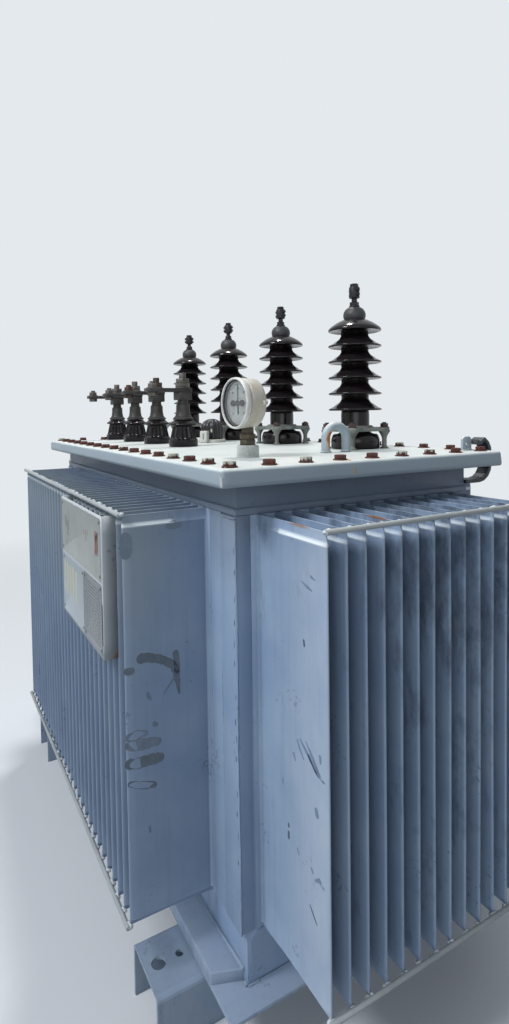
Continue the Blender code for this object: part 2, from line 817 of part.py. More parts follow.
def hook_path():
    # Along X and Z: from beside the lug over the lid's rim, down, and back to the neck.
    lid_edge = tank_width / 2 + lid_overhang
    neck = tank_width / 2 - wall_sheet + seat_gap
    outer = lid_edge + hook_reach
    top = lid_seat + hook_thickness / 2 + lug_height / 2
    bottom = lid_top - lid_rim_height - hook_drop
    start = lid_place(lug_from_left, 0.0)[0] + lug_length / 2 + hook_lug_gap
    bend = hook_drop
    points = [(start, top), (lid_edge - hook_thickness, top - hook_thickness / 2)]
    points += arc_points((outer - bend, lid_top - hook_thickness), bend, 60, 0, 3)
    points += arc_points((outer - bend, bottom + bend), bend, 0, -90, 4)
    points.append((neck, bottom))
    return points


def make_hook():
    y = lid_place(0.0, lug_from_front)[1]
    bm = bmesh.new()
    verts = [bm.verts.new((px, y - hook_width / 2, pz)) for px, pz in hook_path()]
    edges = [bm.edges.new(pair) for pair in zip(verts, verts[1:])]
    wide = bmesh.ops.extrude_edge_only(bm, edges=edges)["geom"]
    moved = [item for item in wide if isinstance(item, bmesh.types.BMVert)]
    bmesh.ops.translate(bm, verts=moved, vec=(0.0, hook_width, 0.0))
    hook = add_part("corner_hook", mesh_from(bm, "corner_hook"), hook_steel)
    strip = hook.modifiers.new("strip", "SOLIDIFY")
    strip.thickness = hook_thickness
    strip.offset = 0.0
    smooth(hook, 50.0)


# Base

def make_base_channel(name, y_low):
    length = tank_width + 2 * channel_overhang
    bm = bmesh.new()
    corners = [(y_low, 0.0), (y_low, channel_height), (y_low + channel_width, channel_height),
               (y_low + channel_width, 0.0)]
    verts = [bm.verts.new((-length / 2, py, pz)) for py, pz in corners]
    edges = [bm.edges.new(pair) for pair in zip(verts, verts[1:])]
    wide = bmesh.ops.extrude_edge_only(bm, edges=edges)["geom"]
    moved = [item for item in wide if isinstance(item, bmesh.types.BMVert)]
    bmesh.ops.translate(bm, verts=moved, vec=(length, 0.0, 0.0))
    bmesh.ops.recalc_face_normals(bm, faces=bm.faces)
    if max(bm.faces, key=lambda face: face.calc_center_median().z).normal.z < 0:
        bmesh.ops.reverse_faces(bm, faces=bm.faces)
    channel = add_part(name, mesh_from(bm, name), tank_paint)
    bend = channel.modifiers.new("bend", "BEVEL")
    bend.width = channel_bend
    bend.segments = 3
    bend.limit_method = "ANGLE"
    sheet = channel.modifiers.new("sheet", "SOLIDIFY")
    sheet.thickness = channel_sheet
    sheet.offset = -1.0
    middle = y_low + channel_width / 2
    cuts = []
    for side in (-1, 1):
        outer = side * (length / 2 - lashing_hole_inset)
        inner = outer - side * hole_spacing
        holes = (("lashing", lashing_hole_radius, outer), ("roller", roller_hole_radius, inner))
        for kind, radius, x in holes:
            low = channel_height - channel_sheet - cut_overrun
            hole = cylinder_mesh(f"{name}_{kind}_hole", radius, low, channel_height + cut_overrun,
                                 (x, middle), 12)
            cuts.append(add_cutter(hole.name, hole))
    combine(channel, cuts, "DIFFERENCE")
    smooth(channel)


def make_base():
    half_y = tank_length / 2
    make_base_channel("front_base_channel", -half_y + channel_setback)
    make_base_channel("back_base_channel", half_y - channel_setback - channel_width)


# Nameplate bracket

def make_nameplate_bracket():
    # Its two side flanges stand on the tips of two fins.
    outer = -left_reach
    first = -tank_length / 2 + side_corner_strip + bracket_first_fin * fin_pitch
    y_low = first - bracket_sheet / 2
    y_high = first + bracket_fin_span * fin_pitch + bracket_sheet / 2
    top = fins_top - bracket_from_top
    bm = bmesh.new()
    inner = outer + bracket_depth
    corners = [(inner, y_low), (outer, y_low), (outer, y_high), (inner, y_high)]
    verts = [bm.verts.new((px, py, top - bracket_height)) for px, py in corners]
    edges = [bm.edges.new(pair) for pair in zip(verts, verts[1:])]
    tall = bmesh.ops.extrude_edge_only(bm, edges=edges)["geom"]
    moved = [item for item in tall if isinstance(item, bmesh.types.BMVert)]
    bmesh.ops.translate(bm, verts=moved, vec=(0.0, 0.0, bracket_height))
    bmesh.ops.recalc_face_normals(bm, faces=bm.faces)
    if min(bm.faces, key=lambda face: face.calc_center_median().x).normal.x > 0:
        bmesh.ops.reverse_faces(bm, faces=bm.faces)
    bracket = add_part("nameplate_bracket", mesh_from(bm, "nameplate_bracket"), plate_metal)
    bend = bracket.modifiers.new("bend", "BEVEL")
    bend.width = bracket_bend
    bend.segments = 2
    bend.limit_method = "ANGLE"
    sheet = bracket.modifiers.new("sheet", "SOLIDIFY")
    sheet.thickness = bracket_sheet
    sheet.offset = -1.0
    smooth(bracket)


make_tank()
make_fin_walls()
make_lid()
make_hv_bushings()
make_lv_bushings()
make_gauge()
make_tap_changer()
make_lifting_eyes()
make_lug()
make_hook()
make_base()
make_nameplate_bracket()
print("distribution transformer:", len([o for o in parts.objects if o.type == "MESH"]), "pieces")
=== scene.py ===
# Looks for a sealed distribution transformer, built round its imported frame.
# Metres, +Z up, -Y the front, -X the left side.
import math
import random

import bmesh
import bpy
from mathutils import Matrix, Vector, noise


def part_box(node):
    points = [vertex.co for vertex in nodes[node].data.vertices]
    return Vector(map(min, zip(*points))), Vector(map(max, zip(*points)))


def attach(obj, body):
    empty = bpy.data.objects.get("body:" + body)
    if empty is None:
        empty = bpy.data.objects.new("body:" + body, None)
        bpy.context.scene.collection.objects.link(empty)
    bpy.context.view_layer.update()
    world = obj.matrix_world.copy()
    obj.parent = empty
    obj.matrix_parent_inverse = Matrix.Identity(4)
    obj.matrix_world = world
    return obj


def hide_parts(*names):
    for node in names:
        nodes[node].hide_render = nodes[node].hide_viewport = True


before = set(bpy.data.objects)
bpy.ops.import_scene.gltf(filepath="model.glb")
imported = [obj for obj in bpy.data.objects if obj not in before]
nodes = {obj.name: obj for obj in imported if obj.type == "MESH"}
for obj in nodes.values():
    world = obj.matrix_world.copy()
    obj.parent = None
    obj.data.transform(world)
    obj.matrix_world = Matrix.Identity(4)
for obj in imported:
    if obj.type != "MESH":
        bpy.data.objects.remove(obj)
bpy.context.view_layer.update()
print("frame loaded:", len(nodes), "nodes")

# The tank's own levels and reaches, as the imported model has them
tank = {
    "midX": 0.0085, "halfX": 0.282, "halfY": 0.625,
    "plateLow": 0.1003, "plateTop": 0.1083, "plateOver": 0.0435, "ledgeTop": 0.1303,
    "panX": 0.011, "panY": 0.001, "wallLow": 0.2053, "finTop": 0.9303, "wallTop": 0.9407,
    "neckInset": 0.003, "flangeLow": 1.0022, "flangeTop": 1.0122, "flangeOver": 0.034,
    "lidTop": 1.0165, "lidOver": 0.051, "lidRim": 0.0305,
}
midX, halfX, halfY = tank["midX"], tank["halfX"], tank["halfY"]
# The fittings stand a hair above the lid
seatZ = 1.0168
fourCorners = ((-1, -1), (-1, 1), (1, -1), (1, 1))


# Small tools, first those for shapes

def ofKind(items, kind):
    return [item for item in items if isinstance(item, kind)]


def meshOf(bm, name):
    mesh = bpy.data.meshes.new(name)
    bm.to_mesh(mesh)
    bm.free()
    return mesh


def linked(name, data):
    thing = bpy.data.objects.new(name, data)
    bpy.context.scene.collection.objects.link(thing)
    return thing


def into(target, source, place=None, material=0):
    for face in source.faces:
        face.material_index += material
    mesh = meshOf(source, "step")
    if place is not None:
        mesh.transform(place)
    target.from_mesh(mesh)
    bpy.data.meshes.remove(mesh)


def addPart(bm, make, *sizes, place=None, material=0, **settings):
    # Makes a part by itself, so that its bevels touch nothing else, and adds it
    part = bmesh.new()
    make(part, *sizes, **settings)
    into(bm, part, place, material)


def at(x, y, z, turn=0.0, axis="Z"):
    return Matrix.Translation((x, y, z)) @ Matrix.Rotation(turn, 4, axis)


def shifted(points, radius=0.0, height=0.0):
    # A stretch of profile, moved out and up
    return [(radius + out, height + rise) for out, rise in points]


def box(bm, low, high):
    verts = bmesh.ops.create_cube(bm, size=1.0)["verts"]
    low, high = Vector(low), Vector(high)
    bmesh.ops.scale(bm, verts=verts, vec=high - low)
    bmesh.ops.translate(bm, verts=verts, vec=(low + high) / 2)
    return verts


def edgesOf(verts, test=None):
    # Each edge once, in an order that is the same in every run
    edges = dict.fromkeys(edge for vert in verts for edge in vert.link_edges)
    return [edge for edge in edges if test is None or test(edge)]


def spans(axis, least):
    # A test for edges that reach further than this along one axis
    return lambda edge: abs(edge.verts[0].co[axis] - edge.verts[1].co[axis]) > least


def sharpEdges(bm, least):
    return [edge for edge in bm.edges if len(edge.link_faces) == 2 and edge.calc_face_angle(0) > least]


def roundEdges(bm, edges, offset, segments=2):
    bmesh.ops.bevel(bm, geom=edges, offset=offset, offset_type="OFFSET", affect="EDGES",
                    segments=segments, profile=0.5, material=-1, clamp_overlap=True)


def roundedBox(bm, low, high, offset=0.001, segments=2):
    verts = box(bm, low, high)
    roundEdges(bm, edgesOf(verts), offset, segments)


def drum(bm, radius, low, high, sides=24, offset=0.0, segments=2):
    # A round or many-sided plug on the Z axis, with its rims rounded
    made = bmesh.ops.create_cone(bm, cap_ends=True, segments=sides, radius1=radius, radius2=radius,
                                 depth=high - low)["verts"]
    bmesh.ops.translate(bm, verts=made, vec=(0.0, 0.0, (low + high) / 2))
    if offset:
        rims = edgesOf(made, lambda edge: not spans(2, 1e-6)(edge))
        roundEdges(bm, rims, offset, segments)


def addStack(bm, rows, place, lift=0.0, offset=0.0008):
    # Drums one above the other: each row is a radius, its low and high end, its sides and material
    for radius, low, high, sides, material in rows:
        addPart(bm, drum, radius, lift + low, lift + high, sides, offset=offset,
                place=place, material=material)


def turned(bm, profile, steps):
    # The profile runs from the top of the axis down the outer side
    verts = [bm.verts.new((radius, 0.0, height)) for radius, height in profile]
    edges = [bm.edges.new(pair) for pair in zip(verts, verts[1:])]
    bmesh.ops.spin(bm, geom=verts + edges, cent=(0, 0, 0), axis=(0, 0, 1), dvec=(0, 0, 0),
                   angle=2 * math.pi, steps=steps, use_merge=True, use_duplicate=False)
    bmesh.ops.remove_doubles(bm, verts=bm.verts, dist=1e-6)
    bmesh.ops.recalc_face_normals(bm, faces=bm.faces)


def raisedFace(bm, points, rise):
    # A flat face, thickened by moving a copy of it along a vector
    face = bm.faces.new([bm.verts.new(point) for point in points])
    made = bmesh.ops.extrude_face_region(bm, geom=[face])["geom"]
    bmesh.ops.translate(bm, verts=ofKind(made, bmesh.types.BMVert), vec=rise)
    bmesh.ops.recalc_face_normals(bm, faces=bm.faces)


def extruded(bm, edges):
    # Extrudes a row of edges, and gives its new vertices and the new edges between them
    made = bmesh.ops.extrude_edge_only(bm, edges=edges)["geom"]
    verts = ofKind(made, bmesh.types.BMVert)
    fresh = set(verts)
    return verts, [edge for edge in ofKind(made, bmesh.types.BMEdge)
                   if edge.verts[0] in fresh and edge.verts[1] in fresh]


def bead(bm, start, end, radius, seed, step=0.006, squash=1.0):
    # A hand-laid weld: a thin rod whose rings swell, shrink and wander
    rng = random.Random(seed)
    start, end = Vector(start), Vector(end)
    length = (end - start).length
    count = max(2, round(length / step))
    part = bmesh.new()
    edges = edgesOf(bmesh.ops.create_circle(part, segments=7, radius=radius)["verts"])
    for index in range(count):
        ring, edges = extruded(part, edges)
        bmesh.ops.translate(part, verts=ring, vec=(0.0, 0.0, length / count))
        wander = Vector((rng.uniform(-0.15, 0.15) * radius, rng.uniform(-0.15, 0.15) * radius, 0.0))
        size = radius * rng.uniform(0.75, 1.25)
        if index == count - 1:
            size *= 0.4
        for vert in ring:
            flat = Vector((vert.co.x, vert.co.y, 0.0)).normalized() * size
            vert.co.x, vert.co.y = flat.x + wander.x, flat.y * squash + wander.y
    bmesh.ops.holes_fill(part, edges=part.edges[:], sides=8)
    bmesh.ops.recalc_face_normals(part, faces=part.faces)
    turn = (end - start).to_track_quat("Z", "Y").to_matrix().to_4x4()
    into(bm, part, Matrix.Translation(start) @ turn)


def beadPath(bm, points, radius, seed, step):
    # A weld along several points, each stretch with a seed of its own
    for index, (start, end) in enumerate(zip(points, points[1:])):
        bead(bm, start, end, radius, seed(index), step)


def dab(path, depth, seed):
    # A flat patch with a ragged outline: path holds (u, v, half width) along its middle
    rng = random.Random(seed)
    fine = []
    for start, end in zip(path, path[1:]):
        count = max(2, round(math.hypot(end[0] - start[0], end[1] - start[1]) / 0.004))
        fine += [[a + (b - a) * i / count for a, b in zip(start, end)] for i in range(count)]
    fine.append(path[-1])
    sides = ([], [])
    for index, (u, v, width) in enumerate(fine):
        before, after = fine[max(0, index - 1)], fine[min(len(fine) - 1, index + 1)]
        run = Vector((after[0] - before[0], after[1] - before[1])).normalized()
        for side, sign in zip(sides, (1, -1)):
            wide = width * rng.uniform(0.82, 1.12) * sign
            side.append((u - run.y * wide, v + run.x * wide))
    ends = []
    for index, inner in ((0, 1), (-1, -2)):
        u, v, width = fine[index]
        run = Vector((u - fine[inner][0], v - fine[inner][1])).normalized()
        turn = math.atan2(run.y, run.x)
        ends.append([(u + width * math.cos(turn + a) * 0.95, v + width * math.sin(turn + a) * 0.95)
                     for a in (-0.9, -0.3, 0.3, 0.9)])
    outline = sides[0] + ends[1][::-1] + sides[1][::-1] + ends[0][::-1]
    part = bmesh.new()
    raisedFace(part, [(u, v, 0.0) for u, v in outline], (0.0, 0.0, depth))
    return part


def finish(bm, name, materials, replaced=(), angle=35.0, place=None):
    if place is not None:
        bmesh.ops.transform(bm, matrix=place, verts=bm.verts)
    mesh = meshOf(bm, name)
    for material in materials if isinstance(materials, list) else [materials]:
        mesh.materials.append(material)
    mesh.shade_smooth()
    mesh.set_sharp_from_angle(angle=math.radians(angle))
    piece = linked(name, mesh)
    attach(piece, "root")
    if replaced:
        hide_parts(*replaced)
    return piece


def thicken(piece, thickness):
    wall = piece.modifiers.new("sheet", "SOLIDIFY")
    wall.thickness = thickness
    wall.offset = -1.0


def dress(names, material):
    for name in names:
        data = nodes[name].data
        data.materials.clear()
        data.materials.append(material)


# Tools for materials

def linear(value):
    return value / 12.92 if value <= 0.04045 else ((value + 0.055) / 1.055) ** 2.4


def hexColour(code):
    return (*[linear(int(code[i:i + 2], 16) / 255) for i in (0, 2, 4)], 1.0)


def addNode(owner, kind, inputs=None, **settings):
    # Inputs are sockets to link, values, or colours as hex codes
    tree = owner.node_tree
    node = tree.nodes.new(kind)
    for name, value in settings.items():
        setattr(node, name, value)
    for key, value in (inputs or {}).items():
        if isinstance(value, bpy.types.NodeSocket):
            tree.links.new(value, node.inputs[key])
        else:
            node.inputs[key].default_value = hexColour(value) if isinstance(value, str) else value
    return node


def seenBy(owner, *rays):
    # 1 for the given kinds of ray, 0 for all others
    path = addNode(owner, "ShaderNodeLightPath")
    seen = path.outputs[rays[0]]
    for ray in rays[1:]:
        either = addNode(owner, "ShaderNodeMath", {0: seen, 1: path.outputs[ray]}, operation="MAXIMUM")
        seen = either.outputs[0]
    return seen


class Paint:
    # One material in the making: each layer covers the colour laid down so far

    def __init__(self, name, base, roughness, metallic=0.0):
        self.material = bpy.data.materials.new(name)
        self.material.use_nodes = True
        self.shader = self.material.node_tree.nodes["Principled BSDF"]
        self.shader.inputs["Base Color"].default_value = hexColour(base)
        self.shader.inputs["Roughness"].default_value = roughness
        self.shader.inputs["Metallic"].default_value = metallic
        self.colour = base
        self.place = self.node("ShaderNodeTexCoord", "Object")

    def node(self, kind, output, inputs=None, **settings):
        return addNode(self.material, kind, inputs, **settings).outputs[output]

    def noise(self, scale, detail=2.0, roughness=0.5, vector=None):
        return self.node("ShaderNodeTexNoise", "Fac", {
            "Vector": self.place if vector is None else vector,
            "Scale": scale, "Detail": detail, "Roughness": roughness})

    def stretched(self, *scale):
        return self.node("ShaderNodeMapping", 0, {"Vector": self.place, "Scale": scale})

    def axis(self, vector, name):
        return self.node("ShaderNodeSeparateXYZ", name, {0: vector})

    def attribute(self, name):
        return self.node("ShaderNodeAttribute", "Fac", attribute_name=name)

    # Ambient occlusion, which the materials use to paint shade into corners and gaps
    def corner(self, distance):
        return self.node("ShaderNodeAmbientOcclusion", "AO", {"Distance": distance}, samples=4)

    def maths(self, operation, first, second):
        return self.node("ShaderNodeMath", 0, {0: first, 1: second}, operation=operation)

    def mapped(self, value, start, end, high=1.0, low=0.0):
        # Runs from low to high while the value runs from start to end
        return self.node("ShaderNodeMapRange", 0, {
            "Value": value, "From Min": start, "From Max": end, "To Min": low, "To Max": high})

    def ramp(self, factor, *stops):
        node = addNode(self.material, "ShaderNodeValToRGB", {"Fac": factor})
        elements = node.color_ramp.elements
        while len(elements) < len(stops):
            elements.new(0.5)
        for element, (position, tone) in zip(elements, stops):
            element.position = position
            element.color = hexColour(tone) if isinstance(tone, str) else (tone, tone, tone, 1.0)
        return node.outputs["Color"]

    def mixed(self, factor, first, second):
        return self.node("ShaderNodeMix", 2, {0: factor, 6: first, 7: second}, data_type="RGBA")

    def cover(self, factor, tone):
        self.colour = self.mixed(factor, self.colour, tone)

    def link(self, output, name):
        self.material.node_tree.links.new(output, self.shader.inputs[name])

    def bump(self, height, strength, distance):
        inputs = {"Height": height, "Strength": strength, "Distance": distance}
        self.link(self.node("ShaderNodeBump", 0, inputs), "Normal")


# Camera, lights and floor

camera = {
    "place": (-0.7263, -1.4803, 1.1012), "yaw": 0.5218, "pitch": 0.0360, "roll": -0.0138,
    "lens": 20.43, "shiftY": -0.0750, "near": 0.05, "far": 60.0,
}
yaw, pitch, roll = camera["yaw"], camera["pitch"], camera["roll"]
forward = Vector((math.sin(yaw) * math.cos(pitch), math.cos(yaw) * math.cos(pitch), -math.sin(pitch)))
flatRight = Vector((math.cos(yaw), -math.sin(yaw), 0.0))
flatUp = flatRight.cross(forward)
right = math.cos(roll) * flatRight + math.sin(roll) * flatUp
up = math.cos(roll) * flatUp - math.sin(roll) * flatRight
camData = bpy.data.cameras.new("camera")
camData.lens = camera["lens"]
camData.shift_y = camera["shiftY"]
camData.clip_start, camData.clip_end = camera["near"], camera["far"]
cam = linked("camera", camData)
cam.matrix_world = Matrix.Translation(camera["place"]) @ Matrix((right, up, -forward)).transposed().to_4x4()
bpy.context.scene.camera = cam

# A small high lamp for the sun, and wide ones for the sky, all aimed at the middle of the tank
lamps = {
    "sunTop": {"place": (0.50, 1.10, 5.70), "size": 0.55, "power": 128.0, "colour": "FFFDF6"},
    "skyLeft": {"place": (-3.60, -0.50, 4.60), "size": 1.6, "power": 192.0, "colour": "F8FAFF"},
    "skyFront": {"place": (-2.30, -4.00, 1.70), "size": 3.0, "power": 35.0, "colour": "F3F7FF"},
    "skyBack": {"place": (3.40, 2.40, 2.60), "size": 3.4, "power": 44.0, "colour": "F3F7FF"},
}
aimPoint = Vector((0.0, 0.0, 0.7))
for lampName, lamp in lamps.items():
    light = bpy.data.lights.new(lampName, "AREA")
    light.shape = "DISK"
    light.size = lamp["size"]
    light.energy = lamp["power"]
    light.color = hexColour(lamp["colour"])[:3]
    lampObject = linked(lampName, light)
    aim = (aimPoint - Vector(lamp["place"])).to_track_quat("-Z", "Y").to_matrix().to_4x4()
    lampObject.matrix_world = Matrix.Translation(lamp["place"]) @ aim
    lampObject.visible_glossy = lampName != "skyBack"

# The room: a plain pale backdrop for the camera, and for the lighting a soft sky, brightest on the left
room = {"backdrop": "E4E9ED", "sky": "E8EEF7", "skyRight": 0.20, "skyLeft": 0.65,
        "floor": "D3D7DA", "bounce": "85898D", "fadeFrom": 1.3, "fadeTo": 4.2, "radius": 14.0}
world = bpy.data.worlds.new("paleRoom")
bpy.context.scene.world = world
world.use_nodes = True
backdrop = world.node_tree.nodes["Background"]
backdrop.inputs["Color"].default_value = hexColour(room["backdrop"])
backdrop.inputs["Strength"].default_value = 1.0
direction = addNode(world, "ShaderNodeTexCoord").outputs["Generated"]
leftward = addNode(world, "ShaderNodeSeparateXYZ", {0: direction}).outputs["X"]
glow = addNode(world, "ShaderNodeMapRange", {"Value": leftward, "From Min": 0.0, "From Max": -1.0,
                                             "To Min": room["skyRight"], "To Max": room["skyLeft"]})
fillLight = addNode(world, "ShaderNodeBackground", {"Color": room["sky"], "Strength": glow.outputs[0]})
seen = seenBy(world, "Is Camera Ray", "Is Transmission Ray", "Is Glossy Ray")
pick = addNode(world, "ShaderNodeMixShader", {0: seen, 1: fillLight.outputs[0], 2: backdrop.outputs[0]})
world.node_tree.links.new(pick.outputs[0], world.node_tree.nodes["World Output"].inputs["Surface"])

# Plain painted floor: pale where the camera sees it, duller in what it throws back at the tank
floorPaint = Paint("paleFloor", room["floor"], 0.85)
floorSeen = seenBy(floorPaint.material, "Is Camera Ray", "Is Glossy Ray")
floorPaint.link(floorPaint.mixed(floorSeen, room["bounce"], room["floor"]), "Base Color")
# Away from the object the floor fades into the backdrop, so that no horizon line shows
floorOff = floorPaint.node("ShaderNodeVectorMath", "Value", {0: floorPaint.place}, operation="LENGTH")
floorFar = floorPaint.mapped(floorOff, room["fadeFrom"], room["fadeTo"])
floorFade = floorPaint.maths("MULTIPLY", floorFar, floorSeen)
floorGlow = floorPaint.node("ShaderNodeEmission", 0, {"Color": room["backdrop"], "Strength": 1.0})
floorLit = floorPaint.shader.outputs[0]
floorMix = floorPaint.node("ShaderNodeMixShader", 0, {0: floorFade, 1: floorLit, 2: floorGlow})
floorTree = floorPaint.material.node_tree
floorTree.links.new(floorMix, floorTree.nodes["Material Output"].inputs["Surface"])
bm = bmesh.new()
bmesh.ops.create_circle(bm, cap_ends=True, segments=64, radius=room["radius"])
floorMesh = meshOf(bm, "floor")
floorMesh.materials.append(floorPaint.material)
linked("floor", floorMesh)
bpy.context.scene.view_settings.view_transform = "Standard"
print("camera, lights and floor ready")


# Materials. Old enamel first, with what the weather has done to it, and with painted shade and highlights

def soilAndShadeFins(paint, cloudTone):
    # Deep between the fins the paint is darkened: painted shade in the gaps
    paint.cover(paint.ramp(paint.corner(0.07), (0.06, 0.70), (0.28, 0.0)), "242D3A")
    # Dark clouds 50 to 100 mm tall, thickest high up towards the right end of the front wall
    blotch = paint.noise(1.0, 8.0, 0.66, paint.stretched(21.0, 21.0, 9.0))
    x, y, z = [paint.axis(paint.place, name) for name in "XYZ"]
    high = paint.mapped(z, 0.45, 0.92, 0.045, -0.10)
    along = paint.mapped(x, -0.24, -0.02, 0.05, -0.12)
    cloud = paint.maths("ADD", blotch, paint.maths("ADD", high, along))
    paint.cover(paint.ramp(cloud, (0.48, 0.0), (0.68, 0.66)), cloudTone)
    # The left wall is painted darker than the front wall: painted shade on the faces turned away from the
    # light
    paint.cover(paint.mapped(x, -0.272, -0.280, 0.34), "46566D")
    # Out on the left side's upper ends the colour turns paler and greyer
    greyed = paint.maths("MULTIPLY", paint.mapped(x, -0.30, -0.40), paint.mapped(z, 0.60, 0.85))
    paint.cover(paint.maths("MULTIPLY", greyed, 0.62), "88949A")
    # Rust has come through on two fins' top edges
    top = paint.mapped(z, 0.9265, 0.9290)
    for spot in ((-0.2255, -0.745, 0.93), (-0.0815, -0.757, 0.93)):
        off = paint.node("ShaderNodeVectorMath", "Value", {0: paint.place, 1: spot}, operation="DISTANCE")
        paint.cover(paint.maths("MULTIPLY", top, paint.mapped(off, 0.030, 0.010)), "8C5E35")
    # The near right fin is painted lighter in clouds along its outer part: painted light, brightest towards
    # the tip
    outer = paint.mapped(y, -0.70, -0.79)
    firstFin = paint.mapped(x, -0.221, -0.226, 0.62)
    paint.cover(paint.maths("MULTIPLY", paint.maths("MULTIPLY", outer, firstFin), blotch), "C0CBD4")


def weatheredPaint(name, base, pale, grimeAndShade, streak=0.2, specks=0.5, rustMap=False,
                   side=None, dustAndShade=None, worn=None, finCloudTone=None, lidShadeTone=None):
    # Sprayed satin enamel on folded steel sheet, years outdoors: a chalky bloom in patches,
    # rain streaks down the sheet, painted shade in the corners and a fine orange-peel skin.
    roughness = 0.45
    paint = Paint(name, base, roughness)
    # Patches about 160 mm across
    bloom = paint.noise(6.0, 6.0, 0.62)
    patches = paint.ramp(bloom, (0.38, 0.0), (0.68, 1.0))
    paint.cover(patches, pale)
    # Rain streaks 15 mm wide and a few hundred long
    rain = paint.noise(1.0, 5.0, 0.6, paint.stretched(65.0, 65.0, 3.2))
    paint.cover(paint.ramp(rain, (0.5, 0.0), (0.78, streak)), grimeAndShade)
    # Scuffs and specks 3 to 8 mm across
    dots = paint.maths("MULTIPLY", paint.noise(120.0, 3.0, 0.55), paint.noise(9.0))
    paint.cover(paint.ramp(dots, (0.385, 0.0), (0.43, specks)), grimeAndShade)
    facing = paint.node("ShaderNodeNewGeometry", "Normal")
    upward = paint.axis(facing, "Z")
    if side:
        # The upright faces are painted darker and bluer than the top: painted shade on the sides
        sideShadeTone = paint.mixed(0.25, side, paint.mixed(patches, side, grimeAndShade))
        paint.cover(paint.mapped(upward, 0.85, 0.25), sideShadeTone)
    if dustAndShade:
        # Pale dust lies on what faces up; where the given tone is darker than the paint, as on the base, it is
        # painted shade
        paint.cover(paint.mapped(upward, 0.25, 0.8, 0.6), dustAndShade)
    # Where faces meet the colour darkens to the grime tone: painted shade in the corners
    paint.cover(paint.ramp(paint.corner(0.03), (0.2, 0.5), (0.75, 0.0)), grimeAndShade)
    if finCloudTone:
        soilAndShadeFins(paint, finCloudTone)
    if lidShadeTone:
        # Darker towards the top, under the lid's overhang: painted shade from the lid
        above = paint.axis(paint.place, "Z")
        paint.cover(paint.mapped(above, 0.78, 0.955, 0.62), lidShadeTone)
        # The front face is painted darker, as shade, but not the pan below it
        frontShade = paint.mapped(paint.axis(facing, "Y"), -0.5, -0.9, 0.30)
        paint.cover(paint.maths("MULTIPLY", frontShade, paint.mapped(above, 0.200, 0.206)), "46566D")
    if worn:
        # Along the pressed creases the paint is painted pale: a painted highlight where the shoulders catch
        # the light
        paint.cover(paint.attribute("crease"), worn)
    if rustMap:
        bitten = paint.maths("MULTIPLY", paint.attribute("rust"), paint.noise(90.0, 6.0, 0.7))
        rust = paint.ramp(bitten, (0.1, "D9C9A0"), (0.34, "B0793C"), (0.6, "6B3218"))
        paint.cover(paint.ramp(bitten, (0.06, 0.0), (0.5, 1.0)), rust)
    paint.link(paint.colour, "Base Color")
    paint.link(paint.mapped(bloom, 0.0, 1.0, roughness + 0.22, roughness - 0.06), "Roughness")
    # Orange peel about 2.5 mm across, drawn a little coarse so that it shows
    peel = paint.maths("MULTIPLY", paint.noise(330.0), 0.12)
    paint.bump(paint.maths("ADD", peel, paint.noise(14.0, 1.0)), 0.35, 0.002)
    return paint.material


# The tank's upper part and front face carry painted shade
tankPaint = weatheredPaint("tankEnamel", "8196B1", "8FA2B8", "4F5D70", specks=0.4, lidShadeTone="5C6166")
# On the fins the worn tone is the creases' painted highlight
finPaint = weatheredPaint("finEnamel", "8196B1", "91A4B9", "4A5869", dustAndShade="A3B1BE", worn="DCE5E8",
                          finCloudTone="38424F")
barPaint = weatheredPaint("barEnamel", "8D9598", "A1A7A8", "70757A", rustMap=True)
weldPaint = weatheredPaint("weldEnamel", "B4BDC2", "CBD0CF", "777D80", rustMap=True)
# Its upright faces, the lid's rim first, are painted darker than its top: painted shade
lidPaint = weatheredPaint("lidEnamel", "C8CFCE", "D5DAD6", "8F999D", streak=0.1, specks=0.3, rustMap=True,
                          side="96A5AE")
trayPaint = weatheredPaint("trayEnamel", "A6AFB5", "B4BABC", "6D747A", streak=0.15, rustMap=True)
# On the base the up-facing tone is darker than the paint: painted shade from the fins above
basePaint = weatheredPaint("baseEnamel", "8295AC", "93A2B1", "4E5860", streak=0.3, specks=0.7,
                           dustAndShade="7F8FA3")


def glazedPorcelain():
    # Fired brown-black porcelain glaze: wet-looking, with a little dust on what faces up
    paint = Paint("glazedPorcelain", "120C0F", 0.14)
    paint.shader.inputs["Specular IOR Level"].default_value = 0.32
    cloud = paint.noise(28.0, 5.0, 0.6)
    tone = paint.ramp(cloud, (0.35, "080507"), (0.7, "170D10"))
    upward = paint.axis(paint.node("ShaderNodeNewGeometry", "Normal"), "Z")
    dust = paint.mapped(upward, 0.55, 1.0, 0.05)
    paint.link(paint.mixed(dust, tone, "8D8A8C"), "Base Color")
    paint.link(paint.mapped(cloud, 0.0, 1.0, 0.26, 0.08), "Roughness")
    return paint.material


def castMetal(name, base, dark, roughness, metallic, grain=260.0, spots=30.0):
    # Cast, rolled or painted matter left outdoors: a grainy skin, darker in patches, with painted shade in its
    # corners
    paint = Paint(name, base, roughness, metallic)
    patches = paint.ramp(paint.noise(spots, 6.0, 0.65), (0.36, dark), (0.62, base))
    corners = paint.ramp(paint.corner(0.012), (0.2, 0.7), (0.8, 0.0))
    paint.link(paint.mixed(corners, patches, dark), "Base Color")
    # Sand grain of 2 to 4 mm
    paint.bump(paint.noise(grain, 3.0), 0.4, 0.0008)
    return paint.material


